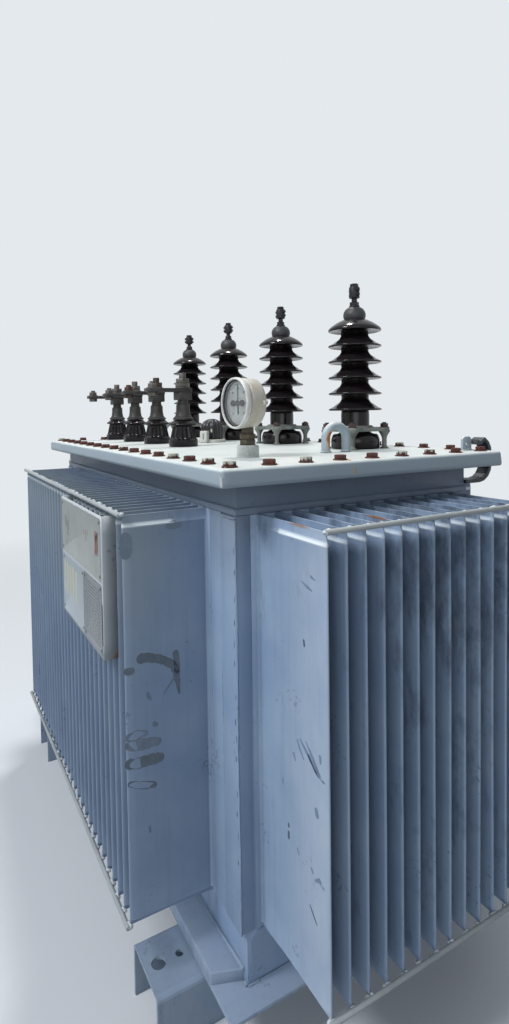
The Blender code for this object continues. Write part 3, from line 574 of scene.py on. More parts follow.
# Each with its base and dark colour, roughness, metallic share, and sometimes grain and spots
castMetals = {
    "castAluminium": ("7C817B", "575C57", 0.55, 0.1),
    "dullZincPaint": ("3C3E3E", "2A2B2B", 0.5, 0.1),
    "blackenedBrass": ("232428", "161619", 0.45, 0.4),
    "tarnishedCopper": ("3C3A38", "262423", 0.5, 0.2),
    "tinnedNut": ("716D67", "47443F", 0.45, 0.3),
    "rolledSteel": ("43484E", "282B2F", 0.5, 0.2),
    "tarnishedBrass": ("57503F", "2E2A22", 0.5, 0.4),
    "paintedSocket": ("BCC4BF", "8F958F", 0.55, 0.0),
    "gaugeEnamel": ("CFCCC2", "B7B0A0", 0.28, 0.0, 600.0),
    "bezelEnamel": ("DADCD8", "C2C2BA", 0.28, 0.0, 600.0),
    "creamPlate": ("939994", "7F8685", 0.4, 0.0, 500.0, 9.0),
    "paleBluePlate": ("9CA7AE", "8F9BA3", 0.4, 0.0, 500.0, 9.0),
    "greyPlate": ("7E8589", "6F767B", 0.4, 0.1, 500.0, 9.0),
    "bleachedRedPrint": ("8E5C53", "7E5049", 0.5, 0.0, 500.0, 60.0),
    "brownPrint": ("4E3733", "6A5550", 0.5, 0.0, 500.0, 60.0),
    "greyPrint": ("575D5E", "6C7271", 0.5, 0.0, 500.0, 60.0),
    "bleachedYellowPrint": ("B7B798", "ABAF9F", 0.5, 0.0, 500.0, 40.0),
    "rowPrint": ("5C6368", "6A7175", 0.5, 0.0, 500.0, 60.0),
    "yellowRustRun": ("B5934F", "A3742F", 0.7, 0.0, 400.0, 160.0),
    "gasketRubber": ("1E2023", "141518", 0.7, 0.0),
    "mouldedPhenolic": ("1B1C20", "121216", 0.38, 0.0, 700.0),
    "whitePlastic": ("CFD0C9", "B2B2A8", 0.4, 0.0, 700.0),
    "blackInk": ("1A1A1D", "131316", 0.5, 0.0, 700.0),
    "dialCard": ("BAC0BF", "B0B5B4", 0.6, 0.0, 900.0),
    "darkerDust": ("6B7A87", "61707D", 0.6, 0.0, 300.0, 60.0),
    "wipedSmear": ("5D6772", "515B66", 0.6, 0.0, 300.0, 60.0),
    "darkScuff": ("4B5768", "3E4958", 0.6, 0.0, 300.0, 60.0),
    "faintSmear": ("71849C", "687B92", 0.6, 0.0, 300.0, 60.0),
    "greySmear": ("6C7987", "5F6C7A", 0.6, 0.0, 300.0, 60.0),
    "rustedClampBolt": ("4F3A31", "2C2321", 0.65, 0.0, 400.0, 90.0),
}
cast = {name: castMetal(name, *spec) for name, spec in castMetals.items()}
porcelain = glazedPorcelain()


def rustyFastener():
    # Plated steel bolts, some under old paint: wear runs from 0, all rust, to 1, all paint
    paint = Paint("rustyFastener", "6E2D19", 0.7)
    crust = paint.noise(170.0, 6.0, 0.7)
    rust = paint.ramp(crust, (0.34, "24100D"), (0.54, "4C2116"), (0.75, "7A4226"))
    old = paint.ramp(crust, (0.38, "7F7F72"), (0.65, "BEC1B6"))
    kept = paint.ramp(paint.maths("ADD", crust, paint.attribute("wear")), (0.84, 0.0), (0.97, 1.0))
    paint.link(paint.mixed(kept, rust, old), "Base Color")
    paint.bump(crust, 0.5, 0.0012)
    return paint.material


boltMetal = rustyFastener()
glass = Paint("gaugeGlass", "FFFFFF", 0.03)
glass.shader.inputs["Transmission Weight"].default_value = 1.0
glass.shader.inputs["IOR"].default_value = 1.45
print("materials ready")


# The tank, its posts, raised plates and strips, and the welds between them
tankSkin = {
    "edge": 0.002, "postX": 0.0277, "plateLow": 0.570, "plateTop": 0.925, "plateLift": 0.0016,
    "stripEnd": 0.5243, "thick": 0.006, "wallInset": 0.0035, "lap": 0.0003,
    "cornerBead": 0.0022, "topBead": 0.0024, "stripBead": 0.0013, "postBead": 0.0012,
    "neckBead": 0.0024, "flangeBead": 0.0026, "neckStep": 0.008,
    "panelLow": 0.116, "panelTop": 0.2025, "panelEnd": 0.0182, "panelRound": 0.025, "panelThick": 0.0012,
}


def makeTank():
    size = tankSkin
    low, top, plateTop = tank["wallLow"], tank["finTop"], size["plateTop"]
    bm = bmesh.new()

    def shell(insetX, insetY, low, high, edge=size["edge"]):
        roundedBox(bm, (midX - halfX + insetX, -halfY + insetY, low),
                   (midX + halfX - insetX, halfY - insetY, high), edge)

    def slab(first, second, high):
        # A box between two corners given in any order
        roundedBox(bm, (min(first[0], second[0]), min(first[1], second[1]), low),
                   (max(first[0], second[0]), max(first[1], second[1]), high), 0.001)

    shell(size["wallInset"], size["wallInset"], low - 0.0002, tank["wallTop"])
    shell(tank["panX"], tank["panY"], tank["plateTop"] - 0.001, low - size["lap"])
    shell(tank["neckInset"], tank["neckInset"], tank["wallTop"] - 0.002, tank["flangeTop"])
    shell(-tank["flangeOver"], -tank["flangeOver"], tank["flangeLow"], tank["flangeTop"])
    # The band above the fins, which the corrugated sheets are welded up to
    shell(0.0, 0.0, top + size["lap"], tank["wallTop"], 0.0012)
    for sideX, sideY in fourCorners:
        x, y = midX + sideX * halfX, sideY * halfY
        back = x - sideX * size["thick"]
        # The post on the short side, the raised plate and the strip beside it on the long side
        slab((x, y), (x - sideX * size["postX"], y - sideY * size["thick"]), top)
        plateX = x + sideX * size["plateLift"]
        slab((plateX, y - sideY * 0.0009), (back, sideY * size["plateLow"]), plateTop)
        slab((x, sideY * (size["plateLow"] - 0.0005)), (back, sideY * size["stripEnd"]), top)
        seed, level = 10 + 3 * sideX + sideY, plateTop + 0.0008
        cornerX, topX, stripX = [x + sideX * proud for proud in (0.0002, 0.0008, 0.0004)]
        cornerY, stripY = y - sideY * 0.0004, sideY * (size["plateLow"] - 0.0004)
        postX = x - sideX * (size["postX"] + 0.0002)
        for start, end, radius, more in (
                ((cornerX, cornerY, low), (cornerX, cornerY, plateTop), size["cornerBead"], 0),
                ((topX, y, level), (topX, sideY * size["plateLow"], level), size["topBead"], 50),
                ((stripX, stripY, low), (stripX, stripY, plateTop), size["stripBead"], 80),
                ((postX, cornerY, low), (postX, cornerY, top), size["postBead"], 110)):
            bead(bm, start, end, radius, seed + more)
    # Welds along the neck's foot, and under the flange
    ring = ((-1, -1), (1, -1), (1, 1), (-1, 1), (-1, -1))
    for index, (a, b) in enumerate(zip(ring, ring[1:])):
        for inset, height, radius in ((0.002, tank["wallTop"] + 0.0002, size["neckBead"]),
                                      (tank["neckInset"], tank["flangeLow"] - 0.0004, size["flangeBead"])):
            ends = [(midX + end[0] * (halfX - inset), end[1] * (halfY - inset), height) for end in (a, b)]
            bead(bm, *ends, radius, 100 + index + round(height * 100), size["neckStep"])
    # Raised panels with round corners on the pan's short sides
    reach, thick = halfX - size["panelEnd"], size["panelThick"]
    for side in (-1, 1):
        y = side * (halfY - tank["panY"] + 0.0003)
        verts = box(bm, (midX - reach, y - thick, size["panelLow"]),
                    (midX + reach, y + thick, size["panelTop"]))
        roundEdges(bm, edgesOf(verts, spans(1, 0.001)), size["panelRound"], 6)
    finish(bm, "tankShell", tankPaint, ["tank_body"])


# The plate under the pan, the bars along its long sides, and the welds that hold them
foot = {"endGap": 0.024, "outerShort": 0.012, "innerLong": 0.010, "wallBead": 0.0042, "endBead": 0.0035,
        "frontBead": 0.0034, "weldGap": 0.012, "weldStep": 0.009}


def makeFoot():
    over = tank["plateOver"]
    low, plate, ledge = tank["plateLow"], tank["plateTop"], tank["ledgeTop"]
    bm = bmesh.new()
    roundedBox(bm, (midX - halfX - over, -halfY - over, low),
               (midX + halfX + over, halfY + over, plate), 0.0015)
    for side in (-1, 1):
        inner, outer = midX + side * (halfX - tank["panX"] - 0.002), midX + side * (halfX + over)
        verts = box(bm, (min(inner, outer), -halfY + foot["endGap"], plate - 0.002),
                    (max(inner, outer), halfY - foot["endGap"], ledge))
        for vert in verts:
            # Each end runs slantwise, so the bar is shorter along its outer edge
            if abs(vert.co.x - outer) < 0.001:
                vert.co.y -= math.copysign(foot["outerShort"], vert.co.y)
            else:
                vert.co.y += math.copysign(foot["innerLong"], vert.co.y)
        roundEdges(bm, edgesOf(verts), 0.002, 3)
        wall, reach, z = midX + side * (halfX - tank["panX"] + 0.0012), halfY - foot["weldGap"], ledge + 0.0006
        bead(bm, (wall, -reach, z), (wall, reach, z), foot["wallBead"], 140 + side, foot["weldStep"], 0.8)
        bead(bm, (wall, -halfY + 0.0015, plate + 0.001), (wall, -halfY + 0.013, plate + 0.001),
             foot["endBead"], 150 + side, 0.004)
    left, right = midX - halfX + foot["weldGap"], midX + halfX - foot["weldGap"]
    for side in (-1, 1):
        y, z = side * (halfY - tank["panY"] + 0.0008), plate + 0.0006
        bead(bm, (left, y, z), (right, y, z), foot["frontBead"], 160 + side, foot["weldStep"])
    finish(bm, "tankFoot", basePaint)


makeTank()
makeFoot()
print("tank ready")

# The corrugated walls. A fin is a fold of the wall sheet, pressed flat to a crease at both ends
fins = {
    "pitch": 0.036, "height": 0.725, "embed": 0.004, "sheet": 0.003, "endStrip": 0.020,
    "rootHalf": 0.0062, "bodyHalf": 0.0048, "tipHalf": 0.0019, "tipLength": 0.015, "endHalf": 0.0015,
    "flareHalf": 0.0056, "flareLength": 0.062, "crease": 0.0128, "shoulder": 0.0070,
    "footCrease": 0.0045, "footShoulder": 0.004, "tipRound": 0.0030, "warp": 0.0012, "innerCreaseHighlight": 0.45,
}
frontDepth, sideDepth = 0.190, 0.158
bars = {
    "radius": 0.0044, "sides": 14, "offFin": 0.0003, "offAxis": 0.0047, "pastFin": 0.006, "lift": 0.0015,
    "weldLift": 0.0022, "weldRough": 0.3,
}
# Rust spots that show on the near bars, each with its place, size and strength
barRust = (((-0.2255, -0.8203, 0.934), 0.006, 0.5), ((-0.118, -0.8203, 0.935), 0.010, 0.8),
           ((-0.103, -0.8203, 0.926), 0.009, 0.9))


def finHalf(out, depth):
    # Half the thickness of a fin's body at a distance out from the wall
    share = max(0.0, min(1.0, out / depth))
    half = fins["rootHalf"] + (fins["bodyHalf"] - fins["rootHalf"]) * min(1.0, share * 1.5)
    nose = max(0.0, min(1.0, (out - depth + fins["tipLength"]) / fins["tipLength"]))
    return half + (fins["tipHalf"] - half) * nose ** 1.3


def finBlank(depth):
    height, half, flareLength = fins["height"], fins["bodyHalf"], fins["flareLength"]
    bm = bmesh.new()
    verts = box(bm, (-half, -fins["embed"], 0.0), (half, depth, height))
    tips = edgesOf(verts, lambda edge: spans(2, 0.1)(edge) and edge.verts[0].co.y > 0)
    roundEdges(bm, tips, fins["tipRound"], 3)
    ends = {False: (fins["footCrease"], fins["footShoulder"]), True: (fins["crease"], fins["shoulder"])}
    heights = [height * (0.1 + 0.1 * i) for i in range(9)]
    for upper, (crease, shoulder) in ends.items():
        rise = [crease, crease + shoulder * 0.5, crease + shoulder, crease + shoulder + 0.003]
        heights += [height - level if upper else level for level in rise]
    tip = depth - fins["tipLength"]
    reaches = [0.0, 0.004, flareLength * 0.5, flareLength, flareLength + 0.008, depth * 0.65]
    reaches += [tip, tip + 0.005, tip + 0.010]
    for levels, across in ((heights, Vector((0, 0, 1))), (reaches, Vector((0, 1, 0)))):
        for level in levels:
            bmesh.ops.bisect_plane(bm, geom=bm.verts[:] + bm.edges[:] + bm.faces[:], dist=1e-6,
                                   plane_co=across * level, plane_no=across)
    creaseHighlight = bm.verts.layers.float.new("crease")
    for vert in bm.verts:
        x, y, z = vert.co
        upper = z > height / 2
        crease, shoulder = ends[upper]
        end = min(z, height - z)
        body = finHalf(y, depth) + (0.003 if y < 0.002 else 0.0)
        flare = max(0.0, 1.0 - max(0.0, y) / flareLength)
        pinch = fins["endHalf"] + (fins["flareHalf"] - fins["endHalf"]) * flare
        if end < crease + 0.0001:
            wide = min(body, pinch + 0.0004 * end / crease)
        elif end < crease + shoulder + 0.0001:
            thin = min(body, pinch)
            wide = thin + (max(body + 0.0009, thin) - thin) * (end - crease) / shoulder
            # The upper shoulder past the flare carries the crease's painted highlight, strongest at its outer
            # edge
            if upper and y > flareLength:
                vert[creaseHighlight] = min(1.0, 0.35 + (end - crease) / shoulder)
        else:
            wide = body
        vert.co.x = x / half * wide
        if upper and end < 0.001 and y > depth - 0.006:
            vert.co.y -= 0.003
    return meshOf(bm, "finMould")


def makeFinWall(side, count, depth, turn, centre, seed):
    rng = random.Random(seed)
    mould = finBlank(depth)
    length = 2 * fins["endStrip"] + (count - 1) * fins["pitch"]
    warp = fins["warp"]
    bm = bmesh.new()
    roundedBox(bm, (-length / 2, -fins["sheet"], 0.0), (length / 2, 0.0, fins["height"]), 0.0008)
    for index in range(count):
        one = bmesh.new()
        one.from_mesh(mould)
        lean, bow, phase = rng.uniform(-warp, warp), rng.uniform(-warp, warp), rng.uniform(0, 6.28)
        if 0 < index < count - 1:
            crease = one.verts.layers.float["crease"]
            for vert in one.verts:
                out = max(0.0, vert.co.y) / depth
                run = vert.co.z / fins["height"]
                ripple = math.sin(math.pi * run)
                # Inner fins keep less of the creases' painted highlight
                vert[crease] *= fins["innerCreaseHighlight"]
                vert.co.x += out * out * (bow * ripple + 0.4 * lean * math.sin(4.0 * run + phase) * ripple)
        into(bm, one, at((index - (count - 1) / 2) * fins["pitch"], 0.0, 0.0))
    bpy.data.meshes.remove(mould)
    finish(bm, side + "Fins", finPaint, [side + "_fin_wall"], 30.0,
           at(*centre, tank["wallLow"], turn))


def makeBars(side, count, depth, turn, centre, seed):
    # Round bars across the fin tips, tacked to every fin
    rng = random.Random(seed)
    reach = depth + bars["offFin"] + bars["offAxis"]
    run = (count - 1) * fins["pitch"] / 2 + bars["pastFin"]
    for level, height, inward in (("upper", tank["finTop"] + bars["lift"], -bars["weldLift"]),
                                  ("lower", tank["wallLow"] - bars["lift"], bars["weldLift"])):
        bm = bmesh.new()
        bm.verts.layers.float.new("rust")
        addPart(bm, drum, bars["radius"], -run, run, bars["sides"], offset=0.001,
                place=at(0.0, reach, height, math.pi / 2, "Y"))
        for index in range(count):
            x = (index - (count - 1) / 2) * fins["pitch"]
            for shift in (rng.uniform(-0.005, -0.001), rng.uniform(0.001, 0.005)):
                lump = bmesh.new()
                bmesh.ops.create_icosphere(lump, subdivisions=2, radius=1.0)
                size = (rng.uniform(0.0035, 0.0065), rng.uniform(0.004, 0.006), rng.uniform(0.0028, 0.0048))
                bmesh.ops.scale(lump, verts=lump.verts, vec=size)
                other = Vector((index * 7.0, seed, shift * 900.0))
                for vert in lump.verts:
                    vert.co *= 1.0 + bars["weldRough"] * noise.noise(vert.co * 300.0 + other)
                y = reach - rng.uniform(0.0035, 0.006)
                into(bm, lump, at(x + shift, y, height - 0.35 * inward + inward * rng.random()), 1)
        bmesh.ops.transform(bm, matrix=at(*centre, 0.0, turn), verts=bm.verts)
        rust = bm.verts.layers.float["rust"]
        for vert in bm.verts:
            vert[rust] = max(0.0, noise.noise(vert.co * 9.0 + Vector((0, 0, seed))) - 0.3) * 2.2
            for spot, size, strength in barRust:
                near = strength * math.exp(-((vert.co - Vector(spot)).length / size) ** 2)
                vert[rust] = max(vert[rust], near)
        finish(bm, side + level.capitalize() + "Bar", [barPaint, weldPaint],
               [side + "_" + level + "_tie_bar"])


for wall in (("front", 14, frontDepth, math.pi, (midX, -halfY), 1),
             ("back", 14, frontDepth, 0.0, (midX, halfY), 2),
             ("left", 29, sideDepth, math.pi / 2, (midX - halfX, 0.0), 3),
             ("right", 29, sideDepth, -math.pi / 2, (midX + halfX, 0.0), 4)):
    makeFinWall(*wall)
    makeBars(*wall)
print("corrugated walls ready")

# The lid's bolts, and how much paint is left on those that show, from the near corner on
bolts = {
    "lineX": 0.302, "lineY": 0.645, "across": 9, "along": 17, "sink": 0.0006,
    "washerR": 0.0135, "washerH": 0.0022, "headR": 0.0109, "headH": 0.0078,
}
frontWear = (0.52, 0.1, 0.62, 0.05, 0.1, 0.58, 0.46, 0.08, 0.05)
leftWear = (0.45, 0.3, 0.66, 0.38, 0.1, 0.05, 0.42, 0.12, 0.3, 0.06, 0.2, 0.06, 0.1, 0.05, 0.2)


def boltPlaces():
    places = []
    for index in range(bolts["across"]):
        x = midX + bolts["lineX"] * (2 * index / (bolts["across"] - 1) - 1)
        places += [(x, -bolts["lineY"]), (x, bolts["lineY"])]
    for index in range(1, bolts["along"] - 1):
        y = bolts["lineY"] * (2 * index / (bolts["along"] - 1) - 1)
        places += [(midX - bolts["lineX"], y), (midX + bolts["lineX"], y)]
    return places


def boltWear(x, y, rng):
    if y < -bolts["lineY"] + 0.001:
        return frontWear[round((x - midX + bolts["lineX"]) / (2 * bolts["lineX"]) * (bolts["across"] - 1))]
    if x < midX - bolts["lineX"] + 0.001 and y < bolts["lineY"] - 0.001:
        return leftWear[round((y + bolts["lineY"]) / (2 * bolts["lineY"]) * (bolts["along"] - 1)) - 1]
    return rng.choice((0.05, 0.1, 0.35, 0.5, 0.65))


lid = {
    "fold": 0.013, "cornerFold": 0.007, "sheet": 0.004, "cell": 0.012,
    "sinkR": 0.022, "sink": 0.0009, "rimSink": 0.0008, "ripple": 0.0008, "dent": 0.0011,
    "haloR": 0.017, "halo": 0.62, "cornerBead": 0.0021, "besideBead": 0.0012, "beadStep": 0.003,
}
lidX, lidY = halfX + tank["lidOver"], halfY + tank["lidOver"]


def makeLid():
    top, low = tank["lidTop"], tank["lidTop"] - tank["lidRim"]
    bm = bmesh.new()
    verts = box(bm, (midX - lidX, -lidY, low), (midX + lidX, lidY, top))
    bmesh.ops.delete(bm, geom=[face for face in bm.faces if face.normal.z < -0.5], context="FACES_ONLY")
    roundEdges(bm, edgesOf(verts, spans(2, 0.01)), lid["cornerFold"], 3)
    rim = [edge for edge in bm.edges if min(vert.co.z for vert in edge.verts) > top - 0.001]
    roundEdges(bm, rim, lid["fold"], 5)
    bmesh.ops.recalc_face_normals(bm, faces=bm.faces)
    for axis, reach in ((0, lidX), (1, lidY)):
        bmesh.ops.subdivide_edges(bm, edges=list(filter(spans(axis, reach), bm.edges)),
                                  cuts=round(2 * reach / lid["cell"]), use_grid_fill=True)
    bmesh.ops.subdivide_edges(bm, edges=list(filter(spans(2, 0.012), bm.edges)), cuts=2, use_grid_fill=True)
    places = boltPlaces()
    rng = random.Random(5)
    wears = [boltWear(x, y, rng) for x, y in places]
    rust = bm.verts.layers.float.new("rust")
    for vert in bm.verts:
        x, y, z = vert.co
        near = sorted((math.hypot(x - px, y - py), wear) for (px, py), wear in zip(places, wears))[:2]
        sink = sum(math.exp(-(off / lid["sinkR"]) ** 2) for off, wear in near)
        if z > top - lid["sheet"]:
            # Pulled down at the bolts, and a little uneven between them
            ripple = lid["ripple"] * noise.noise(Vector((x * 5.0, y * 5.0, 0.3)))
            vert.co.z -= lid["sink"] * sink - ripple
        dent = abs(noise.noise(Vector((x * 11.0, y * 11.0, 2.1))) * lid["dent"]) + lid["rimSink"] * sink
        if abs(x - midX) > lidX - 0.004:
            vert.co.x -= math.copysign(dent, x - midX)
        if abs(y) > lidY - 0.004:
            vert.co.y -= math.copysign(dent, y)
        halo = sum(math.exp(-(off / lid["haloR"]) ** 2) * (1.15 - wear) for off, wear in near)
        vert[rust] = min(1.0, halo * lid["halo"] + max(0.0, noise.noise(vert.co * 7.0) - 0.45))
    thicken(finish(bm, "lidCover", lidPaint, ["lid"]), lid["sheet"])
    # Welded corners of the folded rim: each path holds a distance in from the corner and a drop
    path = ((0.0125, 0.0008), (0.0065, 0.0035), (0.0022, 0.0085), (0.0004, 0.0135),
            (0.0, tank["lidRim"] - 0.001))
    bm = bmesh.new()
    bm.verts.layers.float.new("rust")
    for sideX, sideY in fourCorners:
        x, y = midX + sideX * (lidX - 0.0023), sideY * (lidY - 0.0023)
        beadPath(bm, [(x - sideX * inset, y - sideY * inset, top - drop) for inset, drop in path],
                 lid["cornerBead"], lambda index: 31 + sideX + 2 * sideY + 7 * index, lid["beadStep"])
        x, y = x + sideX * 0.0014, y - sideY * 0.0020
        bead(bm, (x, y, top - 0.008), (x, y, low + 0.001), lid["besideBead"], 51 + sideX, 0.004)
    rust = bm.verts.layers.float["rust"]
    for vert in bm.verts:
        vert[rust] = max(0.0, noise.noise(vert.co * 70.0) - 0.1) * 0.9
    finish(bm, "lidCornerWelds", weldPaint)
    # A thin yellow run of rust over the front rim, from the fourth bolt down: distance out and drop
    run = ((0.655, 0.0002), (0.663, 0.0002), (0.6695, 0.0014), (0.6730, 0.0042), (0.6752, 0.0085),
           (0.6758, 0.0140), (0.6758, 0.0255))
    bm = bmesh.new()
    for index, ((y, drop), (nextY, nextDrop)) in enumerate(zip(run, run[1:])):
        start = (-0.0605 + 0.0004 * index, -y, top - drop)
        end = (-0.0602 + 0.0004 * index, -nextY, top - nextDrop)
        bead(bm, start, end, 0.0016 - 0.0001 * index, 61 + index, lid["beadStep"])
    finish(bm, "rimRustRun", cast["yellowRustRun"])


def makeBolts():
    rng = random.Random(5)
    bm = bmesh.new()
    bm.verts.layers.float.new("wear")
    for index, (x, y) in enumerate(boltPlaces()):
        one = bmesh.new()
        drum(one, bolts["washerR"], 0.0, bolts["washerH"], 20, offset=0.0005, segments=1)
        drum(one, bolts["headR"], bolts["washerH"], bolts["washerH"] + bolts["headH"], 6, offset=0.0009)
        layer = one.verts.layers.float.new("wear")
        wear = boltWear(x, y, rng)
        for vert in one.verts:
            vert[layer] = wear * (0.45 + 0.65 * max(0.0, (vert.co.z - 0.003) / bolts["headH"]))
        into(bm, one, at(x, y, tank["lidTop"] - bolts["sink"], index * 2.1))
    finish(bm, "lidBolts", boltMetal, angle=30.0)


makeLid()
makeBolts()
print("lid ready")

highBushing = {
    "x": 0.1779, "y": -0.393, "spacing": 0.326, "count": 4, "turn": 0.3, "steps": 56,
    "footR": 0.0575, "footLow": 0.022, "footTopR": 0.054, "footH": 0.034, "bodyR": 0.0335, "coreR": 0.0325,
    "shedR": 0.0628, "sheds": 6, "shedPitch": 0.0375, "firstShed": 0.0937, "shedRise": 0.024,
    "neckZ": 0.3085, "capR": 0.0265, "capH": 0.026,
    "clampLow": 0.0408, "clampThick": 0.0095, "clampHalf": 0.0615, "clampRound": 0.017, "legAt": 0.048,
}
# The top shed's upper side, as radius and height from the neck
topShed = ((0.0205, 0.0), (0.0242, -0.0016), (0.0300, -0.0042), (0.0360, -0.0070), (0.0405, -0.0093),
           (0.0450, -0.0117), (0.0495, -0.0146), (0.0540, -0.0180), (0.0585, -0.0215), (0.0616, -0.0248))
# How a lower shed's upper side runs from its root to its rim: shares of the reach and of the drop
shedCurve = ((0.0, 0.0), (0.08, 0.19), (0.17, 0.33), (0.29, 0.45), (0.41, 0.54), (0.54, 0.67), (0.67, 0.78),
             (0.8, 0.87), (0.92, 0.95))
# Every shed's rim and underside, from the shed's radius and from the core's
shedRim = ((-0.0008, 0.0008), (0.0, -0.0008), (-0.0008, -0.0028), (-0.003, -0.0036), (-0.008, -0.0020))
shedRoot = ((0.012, -0.0002), (0.004, -0.0008), (0.0, -0.004))
# The cap's round top: radius, and height as a share of the cap's
capDome = ((0.0, 1.0), (0.0125, 1.0), (0.0165, 0.95), (0.0215, 0.80), (0.0250, 0.58),
           (highBushing["capR"], 0.36), (highBushing["capR"], 0.22), (highBushing["capR"] - 0.0008, 0.04))
# Stacks of drums: radius, low and high end, sides and material
stemStack = ((0.0125, 0.0, 0.004, 24, 1), (0.0110, 0.004, 0.0125, 6, 1), (0.0065, 0.012, 0.024, 16, 1),
             (0.0125, 0.022, 0.048, 20, 1), (0.0100, 0.048, 0.0555, 6, 1))
clampStack = ((0.0115, -0.0012, 0.0008, 20, 1), (0.0092, 0.0008, 0.0088, 6, 1),
              (0.0050, 0.0088, 0.0115, 14, 1))
clampRing = ((0.0352, 0.004), (0.040, 0.004), (0.0425, 0.001), (0.043, -0.002), (0.0352, -0.002),
             (0.0352, 0.004))
clampLegTop = ((0.0, 0.002), (0.0140, 0.002), (0.0132, -0.0015), (0.0098, -0.0065), (0.0068, -0.0125),
               (0.0056, -0.018))
clampLegFoot = ((0.0056, 0.007), (0.0070, 0.0040), (0.0100, 0.0020), (0.0100, 0.0), (0.0, 0.0))


def highPorcelain(bm, s):
    core, reach = s["coreR"], s["shedR"] - s["coreR"]
    profile = [(0.0, s["neckZ"])]
    for index in reversed(range(s["sheds"])):
        rim = s["firstShed"] + index * s["shedPitch"]
        if index == s["sheds"] - 1:
            profile += shifted(topShed, 0.0, s["neckZ"])
        else:
            profile += [(core + reach * share, rim + s["shedRise"] * (1.0 - drop))
                        for share, drop in shedCurve]
        profile += shifted(shedRim, s["shedR"], rim) + shifted(shedRoot, core, rim)
    body, base, foot = s["bodyR"], s["footR"], s["footH"]
    profile += [(body, s["firstShed"] - 0.012), (body, foot + 0.010), (body + 0.003, foot + 0.004),
                (body + 0.009, foot + 0.001), (s["footTopR"] - 0.003, foot), (s["footTopR"], foot - 0.0025),
                (base - 0.0005, s["footLow"] + 0.001), (base, s["footLow"] - 0.002), (base, 0.003),
                (base - 0.002, 0.0), (0.0, 0.0)]
    turned(bm, profile, s["steps"])


def highTerminal(bm, s):
    low, high, r = s["neckZ"] + 0.0003, s["capH"], s["capR"]
    cap = [(radius, low + high * share) for radius, share in capDome]
    cap += [(r - 0.0025, low - 0.003), (r - 0.0045, low - 0.003), (0.0, low - 0.0025)]
    addPart(bm, turned, cap, 36)
    top = low + high
    addStack(bm, stemStack, None, top)
    # Clamp screws on both sides of the connector
    for height in (top + 0.030, top + 0.041):
        for turn in (0.0, math.pi):
            place = at(0, 0, height) @ Matrix.Rotation(turn, 4, "Z") @ Matrix.Rotation(math.pi / 2, 4, "X")
            addPart(bm, drum, 0.0042, 0.008, 0.0165, 6, offset=0.0005, place=place, material=1)


def highClamp(bm, s):
    low, top, half = s["clampLow"], s["clampLow"] + s["clampThick"], s["clampHalf"]
    plate = bmesh.new()
    verts = box(plate, (-half, -half, low), (half, half, top))
    roundEdges(plate, edgesOf(verts, spans(2, 0.005)), s["clampRound"], 6)
    for face in list(plate.faces):
        if face.normal.z > 0.9:
            bmesh.ops.inset_individual(plate, faces=[face], thickness=0.004, depth=-0.0012)
    roundEdges(plate, [edge for edge in sharpEdges(plate, 1.2) if not spans(2, 1e-5)(edge)], 0.0012)
    into(bm, plate)
    addPart(bm, turned, shifted(clampRing, 0.0, top), 40)
    for sideX, sideY in fourCorners:
        x, y = sideX * s["legAt"], sideY * s["legAt"]
        addPart(bm, turned, shifted(clampLegTop, 0.0, low) + list(clampLegFoot), 20, place=at(x, y, 0))
        addStack(bm, clampStack, at(x, y, 0, sideX + sideY), top, 0.0006)


def makeHighBushings():
    s = highBushing
    capMetals = [cast["dullZincPaint"], cast["blackenedBrass"]]
    clampMetals = [cast["castAluminium"], cast["rustedClampBolt"]]
    for index in range(s["count"]):
        number, x, y = index + 1, s["x"], s["y"] + index * s["spacing"]
        square, place = at(x, y, seatZ), at(x, y, seatZ, s["turn"] * index)
        for make, name, node, materials, slotName, angle, spot in (
                (highPorcelain, "highPorcelain", "hv_porcelain", porcelain, "porcelain", 50.0, place),
                (highTerminal, "highTerminal", "hv_terminal", capMetals, "cap_metal", 35.0, place),
                (highClamp, "highClamp", "hv_clamp", clampMetals, "clamp_metal", 35.0, square)):
            bm = bmesh.new()
            make(bm, s)
            finish(bm, f"{name}{number}", materials, [f"{node}_{number}"], angle, spot)


makeHighBushings()
print("high-voltage bushings ready")

lowBushing = {
    "x": -0.1038, "y": -0.008, "spacing": 0.2028, "count": 4, "flutes": 18, "fluteSteps": 8,
    "baseR": 0.0392, "baseH": 0.019,
    "skirtLowR": 0.0355, "skirtTopR": 0.0285, "skirtH": 0.040, "skirtSteps": 7,
    "shedR": 0.038, "collarR": 0.0275, "fluteDepth": 0.0034, "grooveDepth": 0.0007, "terminalGap": 0.0133,
    "flagLow": 0.0752, "flagTop": 0.0852, "flagEnd": -0.105, "flagHalf": 0.020, "bolt": -0.086,
}
lowTop = ((0.0, 0.013), (0.0235, 0.013), (0.0258, 0.0115), (0.031, 0.0065), (0.0362, 0.0035),
          (lowBushing["shedR"], 0.0015), (lowBushing["shedR"], -0.0005), (0.0365, -0.002), (0.031, -0.0022),
          (lowBushing["skirtTopR"] + 0.001, -0.004))
collarR, boltX = lowBushing["collarR"], lowBushing["bolt"]
lowBody = ((0.0, 0.060), (0.0135, 0.060), (0.0142, 0.0575), (0.0142, 0.047), (0.0152, 0.0435),
           (0.0178, 0.0415), (0.0182, 0.038), (0.0186, 0.024), (0.0205, 0.0125), (0.0232, 0.0075),
           (0.0262, 0.0055), (collarR, 0.004), (collarR, 0.0012), (collarR - 0.001, 0.0), (0.0, 0.0))
